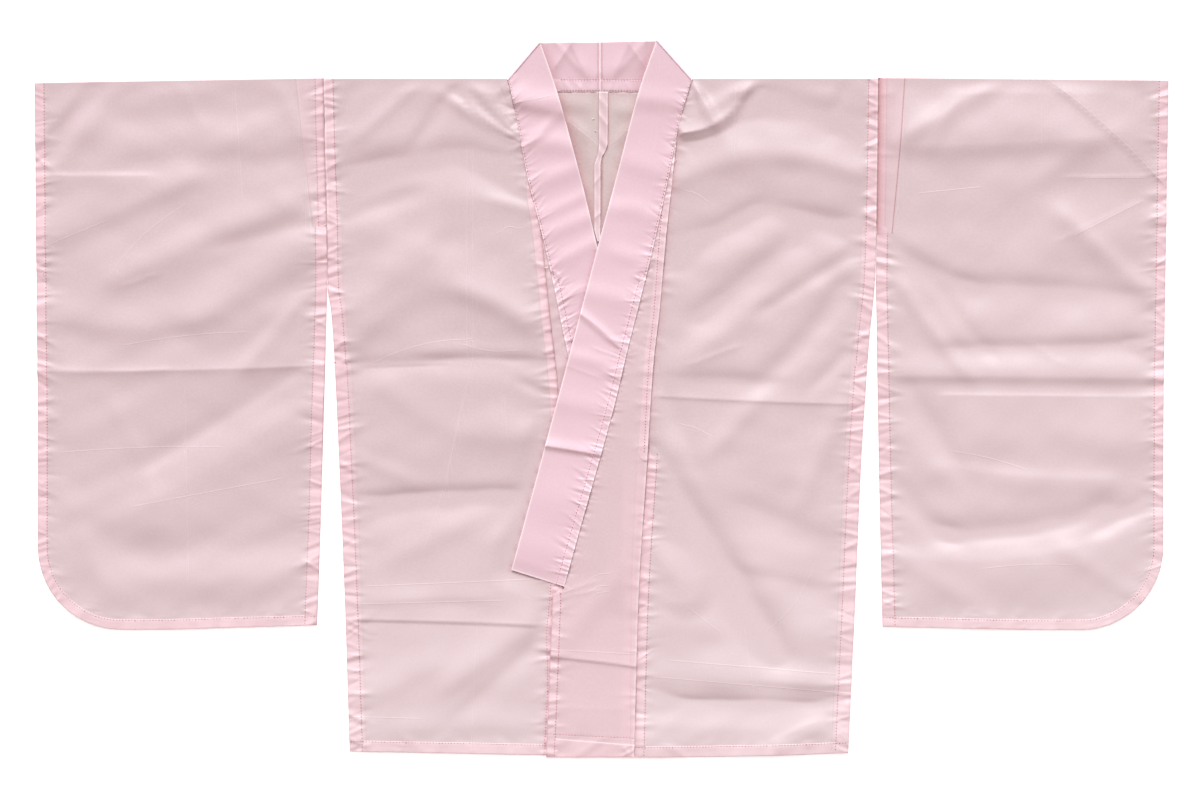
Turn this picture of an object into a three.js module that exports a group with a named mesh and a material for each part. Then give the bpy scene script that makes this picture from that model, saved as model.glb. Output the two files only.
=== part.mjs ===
import * as THREE from "three";

// A juban, the half-length under-kimono, laid flat on its back with its left front over its right.
// Millimetres. +Z is up from the surface, +Y towards the collar, +X towards the wearer's left.
// Every piece is a closed wall of cloth: a grid of stations, each with a point on the outer face
// and one on the inner face. Outside faces down on a back layer and up on a front layer.

const cloth = 1; // wall of one layer
const collarWall = 2; // the collar is folded double
const gap = 0.3; // between neighbours at a seam, and between layers
const onBack = cloth + gap; // height of what lies on the back
const onRightFront = onBack + cloth + gap; // height of what lies on the right front
const onRightCollar = onBack + collarWall + gap; // height of what lies on the right collar

const shoulderY = 358.5;
const neckY = 343.8; // seam of the collar at the centre back
const centreX = -1.7; // centre-back seam
const sleeveTurn = cloth + gap / 2; // outer radius of the fold along a sleeve's top
const collarTurn = collarWall + gap / 2; // outer radius of the collar's fold at the shoulder
const rollInner = 0.4; // inner radius where a front rolls over to meet its back
const loft = 1.2; // how far the slack cloth of a panel stands off what it lies on
const foldFade = 22; // a fold dies out over this distance past each of its ends
const creaseSpread = 8; // rows stand this far on either side of a sharp crease
const lap = { margin: 12, ramp: 26, tipRamp: 40 }; // how the left half comes down off the right
const turnClearance = { width: 4, over: 40 }; // room that a front leaves for the collar's turn
const backInset = { hem: 1.2, side: 0.4 }; // a back's edges lie this far inside its front's
const stepOut = { start: 1, end: 9 }; // below a collar's end its strip steps out to its own edge
const strips = { left: { tipY: 284, rows: 28 }, right: { tipY: 158, rows: 22 } };
const collarEnds = { left: { seamY: -210.5, foldY: -192 }, right: { seamY: -214, foldY: -198 } };
const bandReach = 90; // the band behind the neck runs this far to each side of the centre
const bandTopY = 399;
const overBandRange = { from: 6, over: 22 }; // the front lengths come down off the band here
const allowanceWall = 0.6;
const cuffTaper = 1.4; // the cuff and the hem reach their outer line before their ends,
const hemTaper = 1.8; // faster than in proportion by these

// Shares of a panel over which its folds and its loft die out towards each edge.
const calmShare = { sleeve: { down: 0.05, across: 0.07 }, front: { down: 0.045, across: 0.09 } };
// The right front stays flat where the left half lies on it.
const flatUnderLap = { clearFrom: 6, clearTo: 40, coveredFromY: 60, coveredToY: 130, collarEndY: -232 };

const roughness = 0.5;
const colors = { body: "#e4cdd0", strip: "#e7cacf", collar: "#ecccd5", sleeve: "#e3cbcd" };

// Outlines. Each row is a point of an edge, from the shoulder down.
const bodySide = {
  left: [
    { y: 359, x: 309.7 },
    { y: 249, x: 308.6 },
    { y: 134, x: 305.9 },
    { y: 66, x: 299.6 },
    { y: 36, x: 297.4 },
    { y: -69, x: 290.6 },
    { y: -226, x: 283.9 },
    { y: -402, x: 275.8 },
  ],
  right: [
    { y: 359, x: -311.1 },
    { y: 269, x: -309.3 },
    { y: 194, x: -307.1 },
    { y: 121, x: -306.1 },
    { y: 98, x: -302.6 },
    { y: 40, x: -298.7 },
    { y: -114, x: -291.8 },
    { y: -226, x: -287.3 },
    { y: -402, x: -281.7 },
  ],
};
const hem = {
  left: [
    { x: 30, y: -401.4 },
    { x: 92, y: -401.2 },
    { x: 190, y: -399.6 },
    { x: 276, y: -396.6 },
  ],
  right: [
    { x: -282, y: -394.9 },
    { x: -160, y: -397.2 },
    { x: -45, y: -399.4 },
    { x: -1, y: -399.8 },
  ],
};
const collarSeam = {
  left: [
    { y: 355.6, x: 100.6 },
    { y: 307, x: 86.8 },
    { y: 245, x: 74.6 },
    { y: 163, x: 56.6 },
    { y: 54, x: 29.2 },
    { y: -13, x: 13.2 },
    { y: -147, x: -24.1 },
    { y: -211, x: -41.8 },
  ],
  right: [
    { y: 355.6, x: -104.4 },
    { y: 314, x: -94.9 },
    { y: 253, x: -84.2 },
    { y: 188, x: -67.9 },
    { y: 128, x: -54 },
    { y: 48, x: -37.5 },
    { y: -13, x: -21.6 },
    { y: -147, x: 15.1 },
    { y: -214, x: 33 },
  ],
};
const collarFold = {
  left: [
    { y: 400.2, x: 61 },
    { y: 343, x: 41.4 },
    { y: 245, x: 15.7 },
    { y: 171, x: -4 },
    { y: 95, x: -23.9 },
    { y: -24, x: -55.4 },
    { y: -192, x: -100.9 },
  ],
  right: [
    { y: 398.2, x: -68.3 },
    { y: 343, x: -49.5 },
    { y: 245, x: -22.6 },
    { y: 171, x: -4.9 },
    { y: 64, x: 19.6 },
    { y: 4, x: 36.4 },
    { y: -198, x: 92.4 },
  ],
};
const stripSeam = {
  left: [
    { y: 299, x: 85.1 },
    { y: 245, x: 79.6 },
    { y: 178, x: 72.2 },
    { y: 99, x: 65.3 },
    { y: 39, x: 58.4 },
    { y: -83, x: 50.4 },
    { y: -211, x: 42.2 },
    { y: -402, x: 36.6 },
  ],
  right: [
    { y: 188, x: -67.9 },
    { y: 151, x: -63.7 },
    { y: 85, x: -56.9 },
    { y: 8, x: -48.4 },
    { y: -91, x: -44.4 },
    { y: -214, x: -43.1 },
    { y: -402, x: -45.4 },
  ],
};
const stripEdge = {
  left: [
    { y: -215, x: -54.3 },
    { y: -402, x: -61.9 },
  ],
  right: [
    { y: -218, x: 52 },
    { y: -402, x: 59 },
  ],
};
const backNeck = [
  { x: 0, y: neckY },
  { x: 50, y: neckY },
  { x: 78, y: 347.4 },
  { x: 100, y: 353.6 },
  { x: 104.5, y: 355 },
  { x: 109, y: 357.9 },
  { x: 320, y: shoulderY },
];
const sleeves = {
  left: {
    cuffTopX: 634.5,
    cuffHemX: 628.6,
    topInnerY: 359.4,
    topOuterY: 356.4,
    hemInnerY: -255.4,
    hemOuterY: -259,
    cornerRadius: 93,
    innerEdge: [
      { y: 360, x: 310.1 },
      { y: 249, x: 309 },
      { y: 184, x: 308 },
      { y: 134, x: 307 },
      { y: 88, x: 307.7 },
      { y: -46, x: 309.9 },
      { y: -147, x: 311.9 },
      { y: -260, x: 314.6 },
    ],
  },
  right: {
    cuffTopX: 634.5,
    cuffHemX: 630.8,
    topInnerY: 359,
    topOuterY: 353.6,
    hemInnerY: -253.6,
    hemOuterY: -258.6,
    cornerRadius: 93,
    innerEdge: [
      { y: 360, x: 311.5 },
      { y: 269, x: 309.7 },
      { y: 194, x: 307.5 },
      { y: 134, x: 306.9 },
      { y: 66, x: 308.6 },
      { y: -46, x: 311.9 },
      { y: -136, x: 314.2 },
      { y: -260, x: 318.8 },
    ],
  },
};

// Folds. Each row is the line of a crest, or of a trough where its height is below 0, bowed
// towards +Y by bow at its middle. It spreads by above on its +Y side and by below on the other.
const folds = {
  sleeveRight: [
    { fromX: -612, fromY: 270, toX: -560, toY: 338, bow: 0, above: 10, below: 14, height: 1.4 },
    { fromX: -550, fromY: 313, toX: -388, toY: 326, bow: -4, above: 16, below: 16, height: -1 },
    { fromX: -498, fromY: 262, toX: -327, toY: 262, bow: 4, above: 12, below: 14, height: -1 },
    { fromX: -612, fromY: 175, toX: -507, toY: 228, bow: 0, above: 18, below: 14, height: 1.3 },
    { fromX: -541, fromY: 137, toX: -360, toY: 213, bow: 0, above: 22, below: 18, height: 1.6 },
    { fromX: -450, fromY: 90, toX: -320, toY: 172, bow: 4, above: 22, below: 22, height: 1.8 },
    { fromX: -621, fromY: 96, toX: -433, toY: 96, bow: -14, above: 22, below: 15, height: 1.1 },
    { fromX: -631, fromY: 33, toX: -316, toY: 36, bow: -2, above: 10, below: 8, height: 1.2 },
    { fromX: -489, fromY: -108, toX: -320, toY: 2, bow: 4, above: 26, below: 24, height: 1.7 },
    { fromX: -550, fromY: -171, toX: -327, toY: -153, bow: -10, above: 14, below: 14, height: -1.1 },
    { fromX: -513, fromY: -198, toX: -349, toY: -192, bow: -14, above: 15, below: 20, height: 0.8 },
  ],
  sleeveLeft: [
    { fromX: 349, fromY: 264, toX: 564, toY: 285, bow: -2, above: 12, below: 18, height: -1.2 },
    { fromX: 505, fromY: 352, toX: 626, toY: 243, bow: 2, above: 18, below: 10, height: 1.2 },
    { fromX: 327, fromY: 169, toX: 415, toY: 123, bow: -3, above: 10, below: 14, height: -1.2 },
    { fromX: 415, fromY: 123, toX: 616, toY: 110, bow: 3, above: 12, below: 16, height: -1.2 },
    { fromX: 340, fromY: 120, toX: 401, toY: 37, bow: -2, above: 10, below: 11, height: 1.2 },
    { fromX: 424, fromY: 57, toX: 625, toY: 39, bow: 6, above: 10, below: 12, height: -1.2 },
    { fromX: 330, fromY: 4, toX: 626, toY: 2, bow: 0, above: 9, below: 24, height: 1.2 },
    { fromX: 358, fromY: -7, toX: 401, toY: -81, bow: 4, above: 12, below: 14, height: -1 },
    { fromX: 336, fromY: -107, toX: 388, toY: -153, bow: -3, above: 12, below: 12, height: -1.1 },
    { fromX: 388, fromY: -153, toX: 564, toY: -125, bow: -8, above: 18, below: 12, height: -1.2 },
    { fromX: 564, fromY: -143, toX: 625, toY: -110, bow: 0, above: 10, below: 10, height: -1.1 },
  ],
  frontRight: [
    { fromX: -293, fromY: 237, toX: -85, toY: 247, bow: 28, above: 17, below: 17, height: -1.2 },
    { fromX: -160, fromY: 329, toX: -90, toY: 288, bow: -2, above: 10, below: 9, height: 1.3 },
    { fromX: -163, fromY: 350, toX: -198, toY: 300, bow: 0, above: 9, below: 10, height: -1 },
    { fromX: -276, fromY: 108, toX: -200, toY: 158, bow: 0, above: 16, below: 14, height: 1.1 },
    { fromX: -281, fromY: 60, toX: -86, toY: 92, bow: 50, above: 24, below: 24, height: 1.7 },
    { fromX: -286, fromY: 38, toX: -58, toY: 41, bow: 1, above: 10, below: 10, height: -1.1 },
    { fromX: -239, fromY: 12, toX: -84, toY: -40, bow: -18, above: 20, below: 16, height: 1.1 },
    { fromX: -286, fromY: -121, toX: -80, toY: -110, bow: 5, above: 12, below: 14, height: -1.2 },
    { fromX: -283, fromY: -246, toX: -66, toY: -248, bow: -1, above: 9, below: 9, height: 1.1 },
    { fromX: -170, fromY: -319, toX: -84, toY: -256, bow: 0, above: 20, below: 18, height: 1.3 },
    { fromX: -262, fromY: -335, toX: -190, toY: -298, bow: 0, above: 20, below: 14, height: 1 },
  ],
  frontLeft: [
    { fromX: 92, fromY: 292, toX: 161, toY: 344, bow: -16, above: 12, below: 9, height: -1.2 },
    { fromX: 161, fromY: 325, toX: 278, toY: 306, bow: 6, above: 14, below: 16, height: -1 },
    { fromX: 87, fromY: 227, toX: 264, toY: 247, bow: 14, above: 14, below: 14, height: -1 },
    { fromX: 90, fromY: 159, toX: 180, toY: 198, bow: 0, above: 12, below: 14, height: -1.2 },
    { fromX: 205, fromY: 208, toX: 288, toY: 186, bow: 3, above: 14, below: 10, height: -1.2 },
    { fromX: 117, fromY: 90, toX: 229, toY: 183, bow: 0, above: 13, below: 13, height: -1.2 },
    { fromX: 195, fromY: 21, toX: 283, toY: 115, bow: -4, above: 12, below: 12, height: -1.2 },
    { fromX: 62, fromY: 3, toX: 294, toY: -2, bow: 1, above: 9, below: 8, height: 1.3 },
    { fromX: 58, fromY: -84, toX: 210, toY: -312, bow: 3, above: 12, below: 19, height: -1.2 },
    { fromX: 175, fromY: -128, toX: 264, toY: -165, bow: 0, above: 14, below: 10, height: -1.1 },
    { fromX: 48, fromY: -329, toX: 262, toY: -339, bow: -4, above: 10, below: 13, height: -1.2 },
  ],
  collarLeft: [
    { fromX: -24, fromY: 95, toX: 18, toY: 59, bow: 3, above: 9, below: 9, height: 0.9 },
    { fromX: -64, fromY: -53, toX: -8, toY: -62, bow: 2, above: 9, below: 9, height: 1.1 },
  ],
  stripLeft: [
    { fromX: 12, fromY: -208, toX: -43, toY: -270, bow: 0, above: 14, below: 14, height: 0.9 },
    { fromX: -58, fromY: -297, toX: 38, toY: -302, bow: 2, above: 8, below: 8, height: 0.9 },
  ],
};
const crossCreases = { sleeveRight: 34, sleeveLeft: 5, frontRight: -247, frontLeft: 0 };

const { lerp, clamp, smoothstep } = THREE.MathUtils;

// A smooth line through a table, read at one column and giving the other.
function along(table, value, from = "y", to = "x") {
  const last = table.length - 1;
  const rising = table[last][from] > table[0][from] ? 1 : -1;
  let k = 0;
  while (k < last - 1 && (value - table[k + 1][from]) * rising > 0) k++;
  const slope = (a, b) => (table[b][to] - table[a][to]) / (table[b][from] - table[a][from]);
  const span = table[k + 1][from] - table[k][from];
  const t = clamp((value - table[k][from]) / span, 0, 1);
  const leaving = slope(Math.max(k - 1, 0), k + 1) * span;
  const arriving = slope(k, Math.min(k + 2, last)) * span;
  const start = table[k][to];
  const end = table[k + 1][to];
  const square = t * t;
  const cube = square * t;
  return (
    (2 * cube - 3 * square + 1) * start +
    (cube - 2 * square + t) * leaving +
    (3 * square - 2 * cube) * end +
    (cube - square) * arriving
  );
}

// Height that the folds of a table add to the cloth at a point.
function relief(table, x, y) {
  let height = 0;
  for (const fold of table) {
    const dx = fold.toX - fold.fromX;
    const dy = fold.toY - fold.fromY;
    const length = Math.hypot(dx, dy);
    const share = ((x - fold.fromX) * dx + (y - fold.fromY) * dy) / (length * length);
    const held = clamp(share, 0, 1);
    const bowed = fold.bow * 4 * held * (1 - held);
    const across = ((y - fold.fromY) * dx - (x - fold.fromX) * dy) / length - bowed;
    const upwards = dx > 0 ? across : -across;
    const spread = upwards > 0 ? fold.above : fold.below;
    const past = Math.abs(share - held) * length;
    height += fold.height * Math.exp(-((upwards / spread) ** 2) - (past / foldFade) ** 2);
  }
  return height;
}

// Height of a panel's slack over what it lies on, which it never sinks into.
const slack = (table, x, y, calm) => Math.max(0, calm * (loft + relief(table, x, y)));

// 1 inside a footprint and out to its margin, then down to 0 over the ramp.
const cover = (outside, margin, ramp) => 1 - smoothstep(outside, margin, margin + ramp);

// How far a point lies outside the right collar's front length.
function outsideRightCollar(x, y) {
  const end = collarSeam.right.at(-1).y;
  const sideways = Math.max(0, along(collarSeam.right, y) - x, x - along(collarFold.right, y));
  return Math.hypot(sideways, Math.max(0, end - y));
}

// Underside of a piece of the left half, which laps over the right front, strip and collar.
function lapHeight(x, y) {
  const collar = cover(outsideRightCollar(x, y), lap.margin, lap.ramp);
  const besideCollar = y > collarSeam.right.at(-1).y;
  const edge = along(besideCollar ? collarSeam.right : stripEdge.right, y);
  const belowNeck = cover(y - stripSeam.right[0].y, 0, lap.tipRamp);
  const front = cover(x - edge, lap.margin, lap.ramp) * belowNeck;
  const overFront = (onRightFront - onBack) * Math.max(front, collar);
  return onBack + overFront + (onRightCollar - onRightFront) * collar;
}

// Closes a wall between its outer and inner faces. Each row is a function that gives the pair of
// points at a share across, and the rows run so that the outer face is on their left-hand side.
function wall(name, rows, shares, color) {
  const points = [];
  const index = [];
  for (const row of rows) {
    for (const share of shares) {
      const { outer, inner } = row(share);
      points.push(...outer, ...inner);
    }
  }
  const columns = shares.length;
  const outerAt = (i, j) => 2 * (i * columns + j);
  const innerAt = (i, j) => outerAt(i, j) + 1;
  const quad = (a, b, c, d) => index.push(a, b, c, a, c, d);
  const lastRow = rows.length - 1;
  const lastColumn = columns - 1;
  for (let i = 0; i < lastRow; i++) {
    for (let j = 0; j < lastColumn; j++) {
      quad(outerAt(i, j), outerAt(i, j + 1), outerAt(i + 1, j + 1), outerAt(i + 1, j));
      quad(innerAt(i, j), innerAt(i + 1, j), innerAt(i + 1, j + 1), innerAt(i, j + 1));
    }
    quad(outerAt(i, 0), outerAt(i + 1, 0), innerAt(i + 1, 0), innerAt(i, 0));
    const j = lastColumn;
    quad(outerAt(i, j), innerAt(i, j), innerAt(i + 1, j), outerAt(i + 1, j));
  }
  for (let j = 0; j < lastColumn; j++) {
    const i = lastRow;
    quad(outerAt(0, j), innerAt(0, j), innerAt(0, j + 1), outerAt(0, j + 1));
    quad(outerAt(i, j), outerAt(i, j + 1), innerAt(i, j + 1), innerAt(i, j));
  }
  const geometry = new THREE.BufferGeometry();
  geometry.setAttribute("position", new THREE.Float32BufferAttribute(points, 3));
  geometry.setIndex(index);
  geometry.computeVertexNormals();
  const material = new THREE.MeshStandardMaterial({ color, roughness, metalness: 0 });
  const mesh = new THREE.Mesh(geometry, material);
  mesh.name = name;
  return mesh;
}

const evenly = (count) => Array.from({ length: count + 1 }, (_, k) => k / count);

// Even shares down a piece from one height to another, with rows beside and on a sharp crease.
function sharesDown(count, topY, endY, creaseY) {
  const length = topY - endY;
  const rows = [creaseY + creaseSpread, creaseY, creaseY - creaseSpread];
  const creased = rows.map((y) => (topY - y) / length);
  const even = evenly(count).filter((v) => Math.abs(v - creased[1]) * length > 2 * creaseSpread);
  return [...even, ...creased].sort((a, b) => a - b);
}

// A flat pair of points: the wall stands on z at x, y. Facing up, its outside is its top.
const facingUp = (x, y, z, thick) => ({ outer: [x, y, z + thick], inner: [x, y, z] });
const facingDown = (x, y, z, thick) => ({ outer: [x, y, z], inner: [x, y, z + thick] });

// 1 inside a panel, down to 0 at its four edges; u runs across it and v down.
function calmAt(u, v, share) {
  const down = smoothstep(v, 0, share.down) * smoothstep(1 - v, 0, share.down);
  return down * smoothstep(u, 0, share.across) * smoothstep(1 - u, 0, share.across);
}

// A sleeve is one cloth, folded along its top: front layer from the hem up, turn, back layer down.
function sleeve(side, name, table, creaseY) {
  const cut = sleeves[side];
  const sign = side === "left" ? 1 : -1;
  const radius = cut.cornerRadius;
  const halfArc = (Math.PI / 4) * radius;
  const topY = (u) => lerp(cut.topInnerY, cut.topOuterY, u) - sleeveTurn;
  const hemY = (u) => lerp(cut.hemInnerY, cut.hemOuterY, clamp(u * hemTaper, 0, 1));
  const innerAt = (v) => {
    const y = lerp(topY(0), cut.hemInnerY, v);
    return [along(cut.innerEdge, y), y];
  };
  const topAt = (u) => [lerp(innerAt(0)[0], cut.cuffTopX, u), topY(u)];
  // The corner's arc is shared by the cuff edge and the hem, half to each.
  const cornerAt = (angle) => [
    cut.cuffHemX - radius + radius * Math.cos(angle),
    cut.hemOuterY + radius - radius * Math.sin(angle),
  ];
  const cuffAt = (v) => {
    const straight = topY(1) - cut.hemOuterY - radius;
    const run = v * (straight + halfArc);
    if (run > straight) return cornerAt((run - straight) / radius);
    const x = lerp(cut.cuffTopX, cut.cuffHemX, clamp((cuffTaper * run) / straight, 0, 1));
    return [x, topY(1) - run];
  };
  const hemAt = (u) => {
    const start = innerAt(1)[0];
    const straight = cut.cuffHemX - radius - start;
    const run = u * (straight + halfArc);
    if (run > straight) return cornerAt(Math.PI / 2 - (run - straight) / radius);
    return [start + run, hemY(u)];
  };
  const corners = [topAt(0), topAt(1), hemAt(0), hemAt(1)];
  const place = (u, v) =>
    [0, 1].map((axis) => {
      const downwards = lerp(topAt(u)[axis], hemAt(u)[axis], v);
      const outwards = lerp(innerAt(v)[axis], cuffAt(v)[axis], u);
      const [top0, top1, hem0, hem1] = corners.map((corner) => corner[axis]);
      const value = downwards + outwards - lerp(lerp(top0, top1, u), lerp(hem0, hem1, u), v);
      return axis === 0 ? sign * value : value;
    });
  const front = (v) => (u) => {
    const [x, y] = place(u, v);
    return facingUp(x, y, onBack + slack(table, x, y, calmAt(u, v, calmShare.sleeve)), cloth);
  };
  const back = (v) => (u) => facingDown(...place(u, v), 0, cloth);
  const turn = (angle) => (u) => {
    const [x, y] = place(u, 0);
    const at = (reach) => [x, y + reach * Math.cos(angle), sleeveTurn + reach * Math.sin(angle)];
    return { outer: at(sleeveTurn), inner: at(gap / 2) };
  };
  const frontShares = sharesDown(33, cut.topInnerY, cut.hemInnerY, creaseY);
  const rows = [
    ...frontShares.toReversed().map(front),
    ...[0.25, 0, -0.25].map((share) => turn(share * Math.PI)),
    ...[0, 0.02, 0.5, 0.8, 1].map(back),
  ];
  const columns = evenly(16);
  return wall(name, rows, side === "left" ? columns : columns.toReversed(), colors.sleeve);
}

// A front runs from the hem to the shoulder, where its outside rolls over to meet the back.
function front(side, name, table, creaseY) {
  const sign = side === "left" ? 1 : -1;
  const tip = stripSeam[side][0].y;
  // The inner edge follows the collar's seam down to the strip's tip, and then the strip's seam.
  const innerEdge = (y) => {
    const seam = y > tip ? along(collarSeam[side], y) : along(stripSeam[side], y);
    const atTurn = smoothstep(y, shoulderY - turnClearance.over, shoulderY);
    const clearOfTurn = turnClearance.width * atTurn;
    return seam + sign * (gap / 2 + clearOfTurn);
  };
  const place = (u, v) => {
    const hemX = lerp(along(stripSeam[side], -400), along(bodySide[side], -396), u);
    const y = lerp(shoulderY - sleeveTurn, along(hem[side], hemX, "x", "y"), v);
    return [lerp(innerEdge(y), along(bodySide[side], y), u), y];
  };
  const height = (x, y, u, v) => {
    const calm = calmAt(u, v, calmShare.front);
    if (side === "left") return lapHeight(x, y) + slack(table, x, y, calm);
    const { clearFrom, clearTo, coveredFromY, coveredToY, collarEndY } = flatUnderLap;
    const lapEdge = y > collarEndY ? collarFold.left : stripEdge.left;
    const clear = smoothstep(along(lapEdge, y) - x, clearFrom, clearTo);
    const above = smoothstep(y, coveredFromY, coveredToY);
    return onBack + slack(table, x, y, calm * Math.max(clear, above));
  };
  const sheet = (v) => (u) => {
    const [x, y] = place(u, v);
    return facingUp(x, y, height(x, y, u, v), cloth);
  };
  const roll = (angle) => (u) => {
    const [x, y] = place(u, 0);
    const outer = [x, y + sleeveTurn * Math.cos(angle), sleeveTurn + sleeveTurn * Math.sin(angle)];
    return { outer, inner: [x, y + rollInner * Math.cos(angle), onBack] };
  };
  const down = sharesDown(44, shoulderY, hem[side][1].y, creaseY);
  const rows = [...down.toReversed().map(sheet), ...[0.25, 0.05].map((share) => roll(share * Math.PI))];
  const columns = evenly(12);
  return wall(name, rows, side === "left" ? columns : columns.toReversed(), colors.body);
}

// A back lies flat on the surface, from the centre seam to the side.
function back(side, name) {
  const sign = side === "left" ? 1 : -1;
  const centre = centreX + (sign * gap) / 2;
  const reach = sign * centre;
  const shoulder = sign * along(bodySide[side], shoulderY);
  const place = (u, v) => {
    const top = along(backNeck, lerp(reach, shoulder, u), "x", "y") - gap;
    const hemX = lerp(0, along(bodySide[side], -398), u);
    const low = along(hem[side], hemX, "x", "y") + backInset.hem;
    const y = lerp(top, low, v);
    return [lerp(centre, along(bodySide[side], y) - sign * backInset.side, u), y];
  };
  const rows = evenly(16).toReversed().map((v) => (u) => facingUp(...place(u, v), 0, cloth));
  const atNeck = backNeck.slice(1, -1).map((row) => (row.x - reach) / (shoulder - reach));
  const columns = [0, ...atNeck, 0.55, 0.78, 1];
  return wall(name, rows, side === "left" ? columns : columns.toReversed(), colors.body);
}

// A strip widens the front between its seam, the collar and its own free edge.
function strip(side, name, height) {
  const sign = side === "left" ? 1 : -1;
  const { tipY, rows: rowCount } = strips[side];
  const collarEnd = collarSeam[side].at(-1).y;
  const hemY = hem[side].at(side === "left" ? 0 : -1).y;
  const seamEndY = collarEnd - stepOut.start;
  const freeY = collarEnd - stepOut.end;
  const freeEdge = (y) =>
    y > freeY ? along(collarSeam[side], y) + sign * gap : along(stripEdge[side], y);
  const even = evenly(rowCount).map((v) => lerp(tipY, hemY, v));
  const clearOfStep = even.filter((y) => Math.abs(y - collarEnd) > 1.5 * stepOut.end);
  const heights = [...clearOfStep, seamEndY, freeY].sort((a, b) => a - b);
  const rows = heights.map((y) => (s) => {
    const x = lerp(freeEdge(y), along(stripSeam[side], y) - sign * (gap / 2), s);
    return facingUp(x, y, height(x, y), cloth);
  });
  const columns = evenly(5);
  return wall(name, rows, side === "left" ? columns : columns.toReversed(), colors.strip);
}

// Half of the collar: its front length from the end up, the slanted turn, the band to the centre.
function collar(side, name, height) {
  const sign = side === "left" ? 1 : -1;
  const seamTop = collarSeam[side][0];
  const foldTop = collarFold[side][0];
  const end = collarEnds[side];
  const centreFold = { x: centreX + (sign * gap) / 2, y: bandTopY };
  const slant = new THREE.Vector2(seamTop.x - foldTop.x, seamTop.y - foldTop.y).normalize();
  const outward = new THREE.Vector2(-slant.y * sign, slant.x * sign);
  const onSlant = (s) => [lerp(seamTop.x, foldTop.x, s), lerp(seamTop.y, foldTop.y, s)];
  const length = (t) => (s) => {
    const seamY = lerp(seamTop.y, end.seamY, t);
    const foldY = lerp(foldTop.y, end.foldY, t);
    const x = lerp(along(collarSeam[side], seamY), along(collarFold[side], foldY), s);
    const y = lerp(seamY, foldY, s);
    return facingUp(x, y, height(x, y), collarWall);
  };
  const turn = (angle) => (s) => {
    const [x, y] = onSlant(s);
    const at = (reach) => {
      const out = reach * Math.cos(angle);
      return [x + outward.x * out, y + outward.y * out, collarTurn + reach * Math.sin(angle)];
    };
    return { outer: at(collarTurn), inner: at(gap / 2) };
  };
  const band = (w) => (s) => {
    const [slantX] = onSlant(s);
    const seamX = lerp(seamTop.x, centreFold.x, w);
    const lowY = along(backNeck, Math.abs(seamX), "x", "y");
    const highY = lerp(foldTop.y, centreFold.y, w);
    return facingDown(lerp(slantX, centreFold.x, w), lerp(lowY, highY, s), 0, collarWall);
  };
  const halfBand = Math.abs(seamTop.x - centreFold.x);
  const reached = (x) => (x === 0 ? 1 : (Math.abs(seamTop.x) - x) / halfBand);
  const rows = [
    ...evenly(36).slice(1).toReversed().map(length),
    ...[0.5, 0.25, 0, -0.25, -0.5].map((share) => turn(share * Math.PI)),
    ...backNeck.filter((row) => row.x < bandReach).toReversed().map((row) => band(reached(row.x))),
  ];
  const columns = evenly(4);
  return wall(name, rows, side === "left" ? columns.toReversed() : columns, colors.collar);
}

// Height of the collar's front length near the shoulder, where it lies on the band behind the neck.
function overBand(y) {
  return (collarWall + gap - onBack) * cover(neckY - y, overBandRange.from, overBandRange.over);
}

// The centre-back seam allowance is pressed to the left, and crosses to the right lower down.
function seamAllowance(name) {
  const table = [
    { y: 341, from: -3, to: 7.3 },
    { y: 284, from: -3, to: 7 },
    { y: 262, from: -8.4, to: -0.8 },
    { y: 188, from: -8.2, to: -0.9 },
    { y: 176, from: -4.9, to: -0.9 },
  ];
  const rows = table
    .toReversed()
    .map((row) => (s) => facingUp(lerp(row.from, row.to, s), row.y, onBack, allowanceWall));
  return wall(name, rows, [0, 1], colors.body);
}

const stripLeftHeight = (x, y) => lapHeight(x, y) + relief(folds.stripLeft, x, y);
const collarRightHeight = (x, y) => onBack + overBand(y);
const collarLeftHeight = (x, y) => lapHeight(x, y) + overBand(y) + relief(folds.collarLeft, x, y);

const juban = new THREE.Group();
juban.add(
  back("left", "back_left"),
  back("right", "back_right"),
  seamAllowance("back_seam_allowance"),
  front("right", "front_right", folds.frontRight, crossCreases.frontRight),
  strip("right", "okumi_right", () => onBack),
  collar("right", "collar_right", collarRightHeight),
  front("left", "front_left", folds.frontLeft, crossCreases.frontLeft),
  strip("left", "okumi_left", stripLeftHeight),
  collar("left", "collar_left", collarLeftHeight),
  sleeve("left", "sleeve_left", folds.sleeveLeft, crossCreases.sleeveLeft),
  sleeve("right", "sleeve_right", folds.sleeveRight, crossCreases.sleeveRight),
);

export default juban;
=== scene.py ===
import math

import bpy
import numpy as np
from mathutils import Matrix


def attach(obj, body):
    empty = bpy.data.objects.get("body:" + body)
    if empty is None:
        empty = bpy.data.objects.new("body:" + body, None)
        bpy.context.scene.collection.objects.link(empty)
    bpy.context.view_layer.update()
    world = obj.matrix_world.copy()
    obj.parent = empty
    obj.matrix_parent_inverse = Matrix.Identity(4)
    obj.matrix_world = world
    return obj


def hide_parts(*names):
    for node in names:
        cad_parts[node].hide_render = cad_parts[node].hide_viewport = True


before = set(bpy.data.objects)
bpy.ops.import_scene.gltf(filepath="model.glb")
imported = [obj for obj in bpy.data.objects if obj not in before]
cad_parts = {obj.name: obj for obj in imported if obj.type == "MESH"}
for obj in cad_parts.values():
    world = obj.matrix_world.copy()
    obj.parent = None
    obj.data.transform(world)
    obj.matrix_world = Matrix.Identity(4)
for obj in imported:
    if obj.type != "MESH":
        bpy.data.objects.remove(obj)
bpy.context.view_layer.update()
print("frame loaded:", len(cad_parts), "nodes")

# Millimetres from here on: +X to the wearer's left, +Y to the collar, +Z up from the table.
mm = 0.001

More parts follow.
